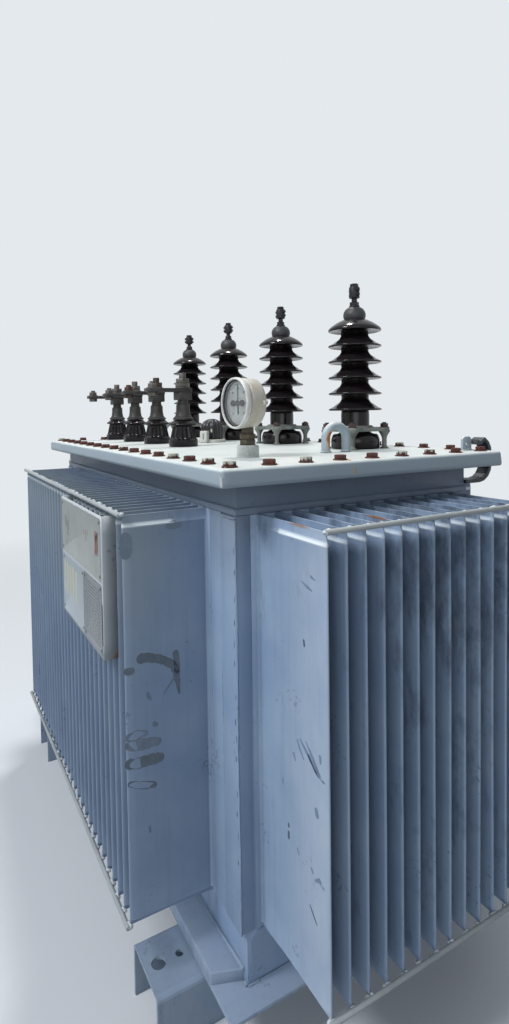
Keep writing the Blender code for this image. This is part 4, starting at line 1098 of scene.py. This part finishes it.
# Nuts and studs on the flag: place along it, then radius, low and high end, sides and material
flagNuts = (
    (0.0, 0.0208, 0.0, 0.002, 28, 1), (0.0, 0.0200, 0.002, 0.0138, 6, 1), (0.0, 0.0200, 0.0142, 0.0265, 6, 1),
    (0.0, 0.0095, 0.0262, 0.0410, 20, 1), (boltX, 0.0155, 0.0, 0.0025, 24, 1),
    (boltX, 0.0135, 0.0025, 0.0125, 6, 1), (boltX, 0.0075, 0.0125, 0.0185, 16, 1),
    (boltX, 0.0135, -0.0205, -0.0100, 6, 1),
)


def lowPorcelain(bm, s):
    foot, top = s["baseH"], s["baseH"] + s["skirtH"]
    base, steps = s["baseR"], s["skirtSteps"]
    profile = shifted(lowTop, 0.0, top)
    for index in range(steps + 1):
        share = index / steps
        profile.append((s["skirtTopR"] + (s["skirtLowR"] - s["skirtTopR"]) * share,
                        top - 0.006 - (top - 0.006 - foot - 0.003) * share))
    profile += [(s["skirtLowR"] + 0.0008, foot + 0.0015), (base - 0.0015, foot), (base, foot - 0.0015),
                (base, 0.0015), (base - 0.001, 0.0), (0.0, 0.0)]
    turned(bm, profile, s["flutes"] * s["fluteSteps"])
    for vert in bm.verts:
        x, y, z = vert.co
        radius, wave = math.hypot(x, y), math.cos(math.atan2(y, x) * s["flutes"])
        shrink = 1.0
        if radius >= 0.01 and foot - 0.001 < z < top - 0.003:
            ends = min(1.0, (z - foot + 0.0011) / 0.004, (top - 0.003 - z) / 0.004)
            shrink = 1.0 - s["fluteDepth"] * (0.5 - 0.5 * wave) ** 0.7 * max(0.0, ends) / radius
        elif 0.001 < z < foot - 0.001 and radius > 0.036:
            # Grooves round the base ring
            shrink = 1.0 - s["grooveDepth"] * max(0.0, -wave) / radius
        vert.co.x, vert.co.y = x * shrink, y * shrink


def lowTerminal(bm, s):
    low = s["baseH"] + s["skirtH"] + s["terminalGap"]
    addPart(bm, turned, shifted(lowBody, 0.0, low), 40)
    addPart(bm, roundedBox, (-0.0195, -0.0195, low + 0.0535), (0.0195, 0.0195, low + 0.0755), 0.002, 3)
    # Flag: a flat bar to the left with a bolt hole boss
    flag = bmesh.new()
    half, top = s["flagHalf"], low + s["flagTop"]
    verts = box(flag, (s["flagEnd"], -half, low + s["flagLow"]), (0.0205, half, top))
    outer = edgesOf(verts, lambda edge: spans(2, 0.005)(edge) and edge.verts[0].co.x < 0)
    roundEdges(flag, outer, 0.009, 4)
    roundEdges(flag, sharpEdges(flag, 1.0), 0.0012)
    into(bm, flag)
    for x, *row in flagNuts:
        addStack(bm, [row], at(x, 0, 0, 0.35 + x * 9 + row[1] * 25), top, 0.0009)


def makeLowBushings():
    s = lowBushing
    for index in range(s["count"]):
        number, place = index + 1, at(s["x"], s["y"] + index * s["spacing"], seatZ)
        bm = bmesh.new()
        lowPorcelain(bm, s)
        finish(bm, f"lowPorcelain{number}", porcelain, [f"lv_porcelain_{number}"], 45.0, place)
        bm = bmesh.new()
        lowTerminal(bm, s)
        # The second one's nuts have rusted red
        metals = [cast["tarnishedCopper"], cast["rustedClampBolt" if index == 1 else "tinnedNut"]]
        finish(bm, f"lowTerminal{number}", metals, [f"lv_terminal_{number}"], place=place)


makeLowBushings()
print("low-voltage bushings ready")


def makeText(name, words, height, depth, place):
    curve = bpy.data.curves.new(name, "FONT")
    curve.body = words
    curve.size = height
    curve.align_x = "CENTER"
    curve.align_y = "CENTER"
    curve.extrude = depth
    source = linked(name + "Curve", curve)
    bpy.context.view_layer.update()
    mesh = bpy.data.meshes.new_from_object(source)
    bpy.data.objects.remove(source)
    mesh.transform(place)
    mesh.materials.clear()
    mesh.materials.append(cast["blackInk"])
    piece = linked(name, mesh)
    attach(piece, "root")


# The thermometer. Its drum is drawn upright and then turned, so that its dial looks left
gauge = {
    "x": -0.1655, "y": -0.478, "stemTop": 0.058, "radius": 0.0508, "depth": 0.0505, "bezel": 0.0524,
    "bore": 0.0474, "shrink": 0.96, "turn": math.radians(3.5), "back": 0.009, "steps": 72,
    "ticks": 41, "ticksPerNumber": 5, "tickEnd": 0.0405, "tickHalf": 0.00035, "numberR": 0.0305,
    "numberHeight": 0.0075, "sweep": 270,
}
gaugeSocket = ((0.0, 0.024), (0.0185, 0.024), (0.0215, 0.0225), (0.022, 0.0205), (0.022, 0.002),
               (0.0235, 0.0), (0.0, 0.0))
gaugeStack = ((0.0165, 0.0238, 0.034, 6, 0), (0.0138, 0.034, 0.0365, 24, 0),
              (0.0158, 0.0365, 0.0455, 24, 0), (0.0128, 0.0455, 0.048, 24, 0),
              (0.0132, 0.048, gauge["stemTop"] + 0.004, 6, 0))
# These run from the drum's front face: radius and height
bezelRing = ((0.0475, -0.003), (0.0483, -0.0005), (0.0493, 0.0), (0.0509, -0.0004), (0.0520, -0.0018),
             (gauge["bezel"], -0.004), (gauge["bezel"], -0.0090), (0.0520, -0.0108), (0.0504, -0.0115),
             (0.0475, -0.0130), (0.0475, -0.003))
shadowRing = ((0.0474, -0.0035), (0.0474, -0.0145), (0.0440, -0.0145), (0.0447, -0.0060), (0.0458, -0.0035),
              (0.0474, -0.0035))
seamBand = ((0.0507, 0.0335), (0.0514, 0.0330), (0.0514, 0.0270), (0.0507, 0.0265), (0.0507, 0.0335))
# Angle in degrees, length, tail, half width and lift
gaugeHands = ((2.0, 0.038, 0.022, 0.0017, 0.0012), (88.0, 0.022, 0.022, 0.0036, 0.0024))


def makeGauge():
    x, y, depth, bore = gauge["x"], gauge["y"], gauge["depth"], gauge["bore"]
    bm = bmesh.new()
    addPart(bm, turned, gaugeSocket, 32, place=at(x, y, seatZ), material=1)
    addStack(bm, gaugeStack, at(x, y, seatZ, 0.4), 0.0, 0.0009)
    finish(bm, "gaugeStem", [cast["tarnishedBrass"], cast["paintedSocket"]], ["gauge_stem"])
    radius, shrink = gauge["radius"], gauge["shrink"]
    centre = at(x, y, seatZ + gauge["stemTop"] - 0.0003 + radius * shrink, gauge["turn"])
    face = centre @ at(depth / 2 - gauge["back"], 0.0, 0.0, -math.pi / 2, "Y") @ Matrix.Scale(shrink, 4)
    bm = bmesh.new()
    case = [(0.0, depth - 0.016), (bore, depth - 0.016), (bore, depth - 0.0135), (radius, depth - 0.0125),
            (radius, 0.0075), (0.0497, 0.0036), (0.0467, 0.0010), (0.044, 0.0), (0.0, 0.0)]
    addPart(bm, turned, case, gauge["steps"], place=face)
    addPart(bm, turned, shifted(bezelRing, 0.0, depth), gauge["steps"], place=face, material=1)
    enamels = [cast["gaugeEnamel"], cast["bezelEnamel"]]
    finish(bm, "gaugeCase", enamels, ["gauge_case"], 40.0)
    # Shadow ring, card, scale and pointers inside the case
    bm = bmesh.new()
    addPart(bm, turned, shifted(shadowRing, 0.0, depth), 64, place=face, material=1)
    addPart(bm, drum, 0.0442, depth - 0.0156, depth - 0.0130, 64, place=face)
    # Local X of the drum points up and local Y across, once the drum is turned
    z, sweep = depth - 0.0129, gauge["sweep"]
    end, half = gauge["tickEnd"], gauge["tickHalf"]
    for index in range(gauge["ticks"]):
        angle = math.radians(-sweep / 2 + sweep * index / (gauge["ticks"] - 1))
        tall = 0.0055 if index % gauge["ticksPerNumber"] == 0 else 0.003
        addPart(bm, box, (end - tall, -half, z), (end, half, z + 0.0003),
                place=face @ Matrix.Rotation(angle, 4, "Z"), material=2)
    for angle, length, tail, width, lift in gaugeHands:
        hand = bmesh.new()
        for vert in box(hand, (-tail, -width, z + lift), (length, width, z + lift + 0.0009)):
            if vert.co.x > 0.01:
                vert.co.y *= 0.35
        into(bm, hand, face @ Matrix.Rotation(math.radians(angle), 4, "Z"), 2)
    for across, size in ((0.0, 0.0062), (-0.0175, 0.0064), (0.0175, 0.0064)):
        addPart(bm, drum, size, z, z + 0.0042, offset=0.0006,
                place=face @ Matrix.Translation((0.0, across, 0.0)), material=2)
    finish(bm, "gaugeDial", [cast["dialCard"], cast["gasketRubber"], cast["blackInk"]])
    # Plain numbers round the scale
    upright = Matrix.Rotation(-math.pi / 2, 4, "Z")
    for index, value in enumerate(("0", "20", "40", "60", "80", "100", "120")):
        angle = math.radians(sweep / 2 - sweep * index / 6)
        out = gauge["numberR"]
        spot = Matrix.Translation((out * math.cos(angle), out * math.sin(angle), z + 0.0002))
        makeText("gaugeNumber" + value, value, gauge["numberHeight"], 0.0001, face @ spot @ upright)
    bm = bmesh.new()
    drum(bm, 0.0456, depth - 0.0062, depth - 0.0046, 64)
    finish(bm, "gaugeWindow", glass.material, place=face)
    # A seam band round the drum, and the screw that closes it
    bm = bmesh.new()
    addPart(bm, turned, seamBand, gauge["steps"], place=face)
    addPart(bm, roundedBox, (-0.004, -0.0565, 0.004), (0.004, -0.0500, 0.012), 0.0008, place=face)
    finish(bm, "gaugeBand", cast["gaugeEnamel"])


makeGauge()
print("thermometer ready")

tap = {
    "x": 0.0565, "y": 0.145, "turn": math.radians(33.0), "blockGap": 0.002, "blockThick": 0.015,
    "blockHalf": 0.0125, "blockTall": 0.036, "figure": 0.027,
    "low": 0.0103, "radius": 0.0345, "straight": 0.0443, "dome": 0.028,
    "ribs": 10, "ribsFrom": 0.012, "depth": 0.0036, "steps": 140,
}
tapBase = ((0.0, 0.010), (0.0385, 0.010), (0.0412, 0.0085), (0.042, 0.006), (0.042, 0.001),
           (0.041, 0.0), (0.0, 0.0))


def makeTapChanger():
    x, y, low, radius = tap["x"], tap["y"], tap["low"], tap["radius"]
    bm = bmesh.new()
    addPart(bm, turned, tapBase, 48, place=at(x, y, seatZ))
    # The index block stands off the knob, turned towards the near corner
    turn = at(x, y, seatZ, tap["turn"])
    inner, half = -radius - tap["blockGap"], tap["blockHalf"]
    outer = inner - tap["blockThick"]
    addPart(bm, roundedBox, (outer, -half, 0.0), (inner, half, tap["blockTall"]), 0.0022, 3, place=turn)
    finish(bm, "tapBase", cast["whitePlastic"], ["tap_changer_base"])
    straight, dome = tap["straight"], tap["dome"]
    profile = [(0.0, straight + dome)]
    profile += [(radius * math.sin(math.radians(a)), straight + dome * math.cos(math.radians(a)))
                for a in range(8, 91, 8)]
    profile += [(radius, straight - 0.012 * i) for i in range(3)]
    profile += [(radius, low + 0.0015), (radius - 0.0015, low), (0.0, low)]
    bm = bmesh.new()
    turned(bm, profile, tap["steps"])
    for vert in bm.verts:
        px, py = vert.co.xy
        off, start = math.hypot(px, py), tap["ribsFrom"]
        if off >= start:
            wave = 0.5 - 0.5 * math.cos(math.atan2(py, px) * tap["ribs"])
            depth = tap["depth"] * min(1.0, (off - start) / start) * wave ** 1.4
            vert.co.x, vert.co.y = px * (1 - depth / off), py * (1 - depth / off)
    finish(bm, "tapKnob", cast["mouldedPhenolic"], ["tap_changer_knob"], 50.0,
           at(x, y, seatZ))
    # A pale streak on the knob's near side, a painted highlight, and the plain figure on the index block
    bm = bmesh.new()
    bmesh.ops.create_uvsphere(bm, u_segments=16, v_segments=8, radius=1.0)
    bmesh.ops.scale(bm, verts=bm.verts, vec=(0.0014, 0.0030, 0.0062))
    finish(bm, "knobPaintedHighlight", cast["whitePlastic"],
           place=at(x, y, seatZ + 0.036, math.radians(-118)) @ Matrix.Translation((0.0338, 0.0, 0.0)))
    across = Matrix.Rotation(-math.pi / 2, 4, "Z") @ Matrix.Rotation(math.pi / 2, 4, "X")
    makeText("indexFigure", "1", tap["figure"], 0.0003,
             turn @ Matrix.Translation((outer - 0.00005, 0.0, 0.0185)) @ across)


makeTapChanger()
print("tap changer ready")

eye = {"x": 0.0555, "y": 0.475, "bar": 0.0095, "radius": 0.0275, "straight": 0.0295, "steps": 22,
       "bead": 0.0022, "beads": 10}


def makeEye(name, node, y, seed, worn):
    # A bent round bar, welded to the lid at both ends
    radius, straight, steps = eye["radius"], eye["straight"], eye["steps"]
    bm = bmesh.new()
    bm.verts.layers.float.new("rust")
    ring = bmesh.ops.create_circle(bm, segments=20, radius=eye["bar"])["verts"]
    bmesh.ops.translate(bm, verts=ring, vec=(radius, 0.0, 0.0))
    fresh, edges = extruded(bm, edgesOf(ring))
    bmesh.ops.translate(bm, verts=fresh, vec=(0, 0, straight))
    bend = Matrix.Rotation(-math.pi / steps, 3, "Y")
    for index in range(steps):
        fresh, edges = extruded(bm, edges)
        bmesh.ops.rotate(bm, verts=fresh, cent=(0, 0, straight), matrix=bend)
    fresh, edges = extruded(bm, edges)
    bmesh.ops.translate(bm, verts=fresh, vec=(0, 0, -straight))
    bmesh.ops.holes_fill(bm, edges=bm.edges[:], sides=24)
    bmesh.ops.recalc_face_normals(bm, faces=bm.faces)
    count, out = eye["beads"], eye["bar"] + 0.0008
    turns = [2 * math.pi * k / count for k in range(count + 1)]
    for side in (-1, 1):
        beadPath(bm, [(side * radius + out * math.cos(a), out * math.sin(a), 0.0014) for a in turns],
                 eye["bead"], lambda k: seed + k + side, 0.003)
    rust = bm.verts.layers.float["rust"]
    for vert in bm.verts:
        if worn:
            # Where hooks have worn the paint off, on the inner side of the left leg
            across = math.exp(-((vert.co.x + 0.021) / 0.008) ** 2)
            inner = across * math.exp(-((vert.co.z - 0.024) / 0.016) ** 2)
            vert[rust] = min(1.0, 3.6 * inner * (1.0 if vert.co.y < 0.004 else 0.55))
        else:
            vert[rust] = max(0.0, noise.noise(vert.co * 30.0))
    finish(bm, name, lidPaint, [node], 50.0, at(eye["x"], y, seatZ))


lug = {"x": 0.3045, "y": -0.613, "half": 0.014, "tall": 0.030, "corner": 0.006, "thick": 0.006,
       "holeR": 0.0045, "holeZ": 0.015, "bead": 0.002}


def makeLug():
    half, tall, cut, thick = lug["half"], lug["tall"], lug["corner"], lug["thick"]
    plate = bmesh.new()
    outline = ((-half, 0.0), (half, 0.0), (half, tall - cut), (half - cut, tall), (cut - half, tall),
               (-half, tall - cut))
    raisedFace(plate, [(px, -thick / 2, pz) for px, pz in outline], (0, thick, 0))
    roundEdges(plate, edgesOf(plate.verts), 0.0012)
    drill = bmesh.new()
    drum(drill, lug["holeR"], -0.01, 0.01)
    bmesh.ops.transform(drill, matrix=at(0, 0, lug["holeZ"], math.pi / 2, "X"), verts=drill.verts)
    blank, tool = linked("lugBlank", meshOf(plate, "lugBlank")), linked("drill", meshOf(drill, "drill"))
    hole = blank.modifiers.new("hole", "BOOLEAN")
    hole.operation = "DIFFERENCE"
    hole.solver = "EXACT"
    hole.object = tool
    bpy.context.view_layer.update()
    drilled = bpy.data.meshes.new_from_object(blank.evaluated_get(bpy.context.evaluated_depsgraph_get()))
    for item in (blank, tool):
        bpy.data.objects.remove(item)
    x, y = lug["x"], lug["y"]
    drilled.transform(at(x, y, seatZ))
    bm = bmesh.new()
    bm.verts.layers.float.new("rust")
    bm.from_mesh(drilled)
    for side in (-1, 1):
        seam, z = y + side * (thick / 2 + 0.0005), seatZ + 0.001
        bead(bm, (x - half, seam, z), (x + half, seam, z), lug["bead"], 77 + side, 0.003)
    finish(bm, "cornerLug", lidPaint, ["corner_lug"])


makeEye("frontEye", "front_lifting_eye", -eye["y"], 200, True)
makeEye("backEye", "back_lifting_eye", eye["y"], 300, False)
makeLug()
dress(["corner_hook"], cast["rolledSteel"])
print("lifting gear ready")

dress(["front_base_channel", "back_base_channel"], basePaint)

# The bracket is a folded tray on the fin tips, with one plate above and two below
tray = {"sheet": 0.0015, "steps": 8, "bend": 0.0018, "wave": 0.0012, "split": 0.134, "middle": 0.134,
        "plateRound": 0.004, "border": 0.0022, "screw": 0.0030, "screwIn": 0.008}
trayLow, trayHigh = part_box("nameplate_bracket")
trayFace = trayLow.x + tray["sheet"]
split, middle = trayLow.z + tray["split"], trayLow.y + tray["middle"]
# Each plate with its ends across, its ends up and its card
plates = {
    "upperPlate": ((trayLow.y + 0.006, trayHigh.y - 0.006),
                   (split + 0.004, trayHigh.z - 0.005), "creamPlate"),
    "lowerLeftPlate": ((middle + 0.002, trayHigh.y - 0.007),
                       (trayLow.z + 0.006, split - 0.003), "paleBluePlate"),
    "lowerRightPlate": ((trayLow.y + 0.006, middle - 0.002),
                        (trayLow.z + 0.005, split - 0.002), "greyPlate"),
}


def makeTray():
    low, high = trayLow, trayHigh
    bm = bmesh.new()
    outline = ((high.x, low.y), (trayFace, low.y), (trayFace, high.y), (high.x, high.y))
    verts = [bm.verts.new((px, py, low.z)) for px, py in outline]
    edges = [bm.edges.new(pair) for pair in zip(verts, verts[1:])]
    for index in range(tray["steps"]):
        fresh, edges = extruded(bm, edges)
        bmesh.ops.translate(bm, verts=fresh, vec=(0.0, 0.0, (high.z - low.z) / tray["steps"]))
    roundEdges(bm, sharpEdges(bm, 1.0), tray["bend"], 3)
    for vert in bm.verts:
        if vert.co.x > high.x - 0.001:
            vert.co.y += tray["wave"] * noise.noise(Vector((0.0, vert.co.y, vert.co.z * 18.0)))
    bmesh.ops.recalc_face_normals(bm, faces=bm.faces)
    if min(bm.faces, key=lambda face: face.calc_center_median().x).normal.x > 0:
        bmesh.ops.reverse_faces(bm, faces=bm.faces)
    rust = bm.verts.layers.float.new("rust")
    for vert in bm.verts:
        if vert.co.x > trayFace + 0.012 and vert.co.y < low.y + 0.01:
            vert[rust] = math.exp(-((vert.co.z - low.z) / 0.010) ** 2) * 0.9
    thicken(finish(bm, "plateTray", trayPaint, ["nameplate_bracket"]), tray["sheet"])


def makePlates():
    for name, ((y0, y1), (z0, z1), material) in plates.items():
        bm = bmesh.new()
        card = bmesh.new()
        verts = box(card, (trayFace - 0.0009, y0, z0), (trayFace + 0.0002, y1, z1))
        roundEdges(card, edgesOf(verts, spans(0, 0.0005)), tray["plateRound"], 4)
        front = [face for face in card.faces if face.normal.x < -0.9]
        bmesh.ops.inset_region(card, faces=front, thickness=tray["border"], depth=0.0)
        front = [face for face in card.faces if face.normal.x < -0.9 and face.calc_area() > 0.005]
        bmesh.ops.inset_region(card, faces=front, thickness=0.0006, depth=-0.0004)
        into(bm, card)
        for py in (y0 + tray["screwIn"], y1 - tray["screwIn"]):
            for pz in (z0 + tray["screwIn"], z1 - tray["screwIn"]):
                addPart(bm, drum, tray["screw"], 0.0, 0.0013, 14, offset=0.0005,
                        place=at(trayFace - 0.0002, py, pz, -math.pi / 2, "Y"), material=1)
        finish(bm, name, [cast[material], cast["castAluminium"]])


# Rows of strokes: how many, the first one's place across, the pitch, its level, the fall from one to the
# next, how far they stray, how wide and tall they are, and their materials in turn.
strokeRows = (
    (9, -0.446, 0.0028, 0.873, 0.0, (-0.004, 0.004), 0.0017, (0.030, 0.048), (1, 0, 0)),
    (4, -0.4445, 0.004, 0.889, 0.003, 0.0, 0.0038, (0.006, 0.018), (1,)),
    (3, -0.372, 0.013, 0.879, 0.0, (-0.006, 0.004), 0.0030, (0.010, 0.022), (0,)),
    (5, -0.214, 0.008, 0.872, 0.0, (-0.012, 0.012), 0.0036, (0.022, 0.050), (2,)),
    (5, -0.270, 0.026, 0.752, 0.0, (-0.003, 0.003), 0.013, 0.066, (3,)),
)
dashes = {"rows": 17, "top": 0.788, "pitch": 0.0062, "left": -0.452, "right": -0.350,
          "wide": (0.006, 0.022), "tall": 0.0024, "gap": (0.003, 0.006)}


def makePlateMarks():
    # What is left of the prints: bleached red strokes, faded bars and rows of grey dashes,
    # none of them readable.
    rng = random.Random(12)
    bm = bmesh.new()

    def stroke(y, z, wide, tall, tone):
        piece = bmesh.new()
        verts = box(piece, (trayFace - 0.00065, y - wide / 2, z - tall / 2),
                    (trayFace - 0.0003, y + wide / 2, z + tall / 2))
        roundEdges(piece, edgesOf(verts, spans(0, 0.0003)), min(wide, tall) * 0.3)
        into(bm, piece, None, tone)

    def within(spread):
        # A random value between two ends, or the one value that is given
        return rng.uniform(*spread) if isinstance(spread, tuple) else spread

    for count, y, pitch, level, fall, stray, wide, tall, tones in strokeRows:
        for index in range(count):
            z = level - fall * index + within(stray)
            stroke(y + pitch * index, z, wide, within(tall), tones[index % len(tones)])
    # A black strip stands for the dark gap where the lower right plate's near edge has bulged off: painted
    # shade
    stroke(-0.4655, 0.732, 0.0034, 0.072, 5)
    for row in range(dashes["rows"]):
        z, y = dashes["top"] - dashes["pitch"] * row, dashes["left"]
        while y < dashes["right"]:
            wide = within(dashes["wide"])
            stroke(y + wide / 2, z, wide, dashes["tall"], 4)
            y += wide + within(dashes["gap"])
    prints = ("bleachedRedPrint", "brownPrint", "greyPrint", "bleachedYellowPrint", "rowPrint", "blackInk")
    finish(bm, "plateMarks", [cast[name] for name in prints])


makeTray()
makePlates()
makePlateMarks()
print("base and nameplates ready")

# Smears and scuffs on the near fins. Every mark is a list of points, each with its distance out,
# height and half width, and then the number of its material.
smearNames = ("wipedSmear", "faintSmear", "greySmear", "darkerDust", "darkScuff")
leftMarks = (
    ([(-0.4030, 0.676, 0.0095), (-0.392, 0.6755, 0.0085), (-0.3683, 0.668, 0.0075), (-0.3457, 0.6536, 0.0075),
      (-0.3385, 0.640, 0.007), (-0.3355, 0.620, 0.005), (-0.3333, 0.5973, 0.002)], 0),
    ([(-0.3385, 0.672, 0.0062), (-0.3370, 0.655, 0.006), (-0.3365, 0.640, 0.006)], 0),
    ([(-0.3404, 0.6304, 0.002), (-0.352, 0.616, 0.0016), (-0.3639, 0.6015, 0.001)], 2),
    ([(-0.4275, 0.658, 0.007), (-0.4215, 0.6575, 0.0072)], 0),
    ([(-0.4262, 0.5405, 0.008), (-0.412, 0.543, 0.0085), (-0.3988, 0.5423, 0.006)], 2),
    ([(-0.4275, 0.5265, 0.008), (-0.405, 0.523, 0.0115), (-0.376, 0.5208, 0.008)], 2),
    ([(-0.4270, 0.4936, 0.0095), (-0.403, 0.492, 0.0105), (-0.373, 0.4901, 0.010)], 0),
    ([(-0.4260, 0.4575, 0.006), (-0.405, 0.4505, 0.0075), (-0.3842, 0.4435, 0.006)], 0),
    ([(-0.3805, 0.5535, 0.005), (-0.3775, 0.5515, 0.004)], 2),
    ([(-0.3925, 0.612, 0.0026), (-0.3900, 0.604, 0.004), (-0.3865, 0.598, 0.001)], 2),
    ([(-0.4262, 0.892, 0.010), (-0.4262, 0.878, 0.0115), (-0.4262, 0.863, 0.010)], 3),
    ([(-0.3480, 0.9045, 0.006), (-0.3380, 0.9055, 0.0085), (-0.3280, 0.9045, 0.006)], 3),
    ([(-0.3940, 0.371, 0.0022), (-0.3930, 0.362, 0.0028)], 2),
)
rightMarks = (
    ([(-0.7462, 0.597, 0.0012), (-0.760, 0.588, 0.0030), (-0.7750, 0.575, 0.0022),
      (-0.7929, 0.562, 0.0012)], 1),
    ([(-0.7390, 0.592, 0.0016), (-0.7460, 0.580, 0.0022), (-0.7560, 0.570, 0.0010)], 1),
    ([(-0.7620, 0.600, 0.0012), (-0.778, 0.586, 0.0030), (-0.7981, 0.566, 0.0014)], 1),
    ([(-0.7700, 0.583, 0.0030), (-0.788, 0.569, 0.0042), (-0.8060, 0.560, 0.0018)], 1),
    ([(-0.7289, 0.565, 0.0030), (-0.7330, 0.556, 0.0012)], 1),
    ([(-0.7981, 0.596, 0.0025), (-0.7990, 0.586, 0.0018)], 1),
    ([(-0.7560, 0.846, 0.0012), (-0.7700, 0.841, 0.0025), (-0.7820, 0.838, 0.0012)], 1),
    ([(-0.7800, 0.859, 0.0026), (-0.7900, 0.856, 0.0010)], 1),
    ([(-0.7592, 0.756, 0.0022), (-0.7606, 0.749, 0.0026)], 4),
    ([(-0.7119, 0.441, 0.0020), (-0.7119, 0.437, 0.0022)], 4),
    ([(-0.7115, 0.427, 0.0026), (-0.7115, 0.418, 0.0026)], 4),
    ([(-0.7685, 0.3485, 0.0010), (-0.7765, 0.340, 0.0016), (-0.7863, 0.3307, 0.0012)], 4),
    ([(-0.7830, 0.397, 0.0018), (-0.7940, 0.404, 0.0040), (-0.8040, 0.398, 0.0016)], 1),
    ([(-0.7735, 0.409, 0.0022), (-0.7765, 0.405, 0.0020)], 1),
    ([(-0.7360, 0.416, 0.0014), (-0.7390, 0.409, 0.0014)], 1),
    ([(-0.6955, 0.507, 0.0018), (-0.6965, 0.500, 0.0014)], 1),
    ([(-0.7875, 0.508, 0.0045), (-0.7895, 0.501, 0.0045)], 1),
)
marksAt = {"sunk": 0.0004, "proud": 0.0003, "leftFinY": -0.504, "frontFinX": -0.2255}
chips = {"count": 14, "low": 0.34, "pitch": 0.041, "depth": 0.0004, "proud": 0.0015}


def facingFront(y):
    # Lays a patch drawn in X and Y on an upright face that looks along -Y
    return Matrix(((1, 0, 0, 0), (0, 0, -1, y), (0, 1, 0, 0), (0, 0, 0, 1)))


def facingLeft(x):
    return Matrix(((0, 0, -1, x), (1, 0, 0, 0), (0, 1, 0, 0), (0, 0, 0, 1)))


def makeSmears():
    sunk = marksAt["sunk"]
    for name, marks, depth, wall, place in (
            ("leftFinSmears", leftMarks, sideDepth, midX - halfX, facingFront(marksAt["leftFinY"] + sunk)),
            ("rightFinSmears", rightMarks, frontDepth, -halfY, facingLeft(marksAt["frontFinX"] + sunk))):
        bm = bmesh.new()
        for index, (path, tone) in enumerate(marks):
            patch = dab(path, sunk + marksAt["proud"], index)
            for vert in patch.verts:
                vert.co.z += finHalf(wall - vert.co.x, depth)
            into(bm, patch, place, tone)
        finish(bm, name, [cast[smear] for smear in smearNames])
    # Chips beside the near corner's weld
    rng = random.Random(4)
    bm = bmesh.new()
    place = facingLeft(midX - halfX - chips["proud"])
    for index in range(chips["count"]):
        y = -halfY + rng.uniform(0.0035, 0.0075)
        z = chips["low"] + chips["pitch"] * index + rng.uniform(-0.012, 0.012)
        path = [(y, z + rng.uniform(0.003, 0.007), 0.0008), (y + 0.0006, z, 0.0014),
                (y, z - rng.uniform(0.002, 0.006), 0.0007)]
        into(bm, dab(path, chips["depth"], 90 + index), place, index % 2)
    finish(bm, "cornerChips", [cast["darkScuff"], cast["greySmear"]])


makeSmears()
print("smears ready")
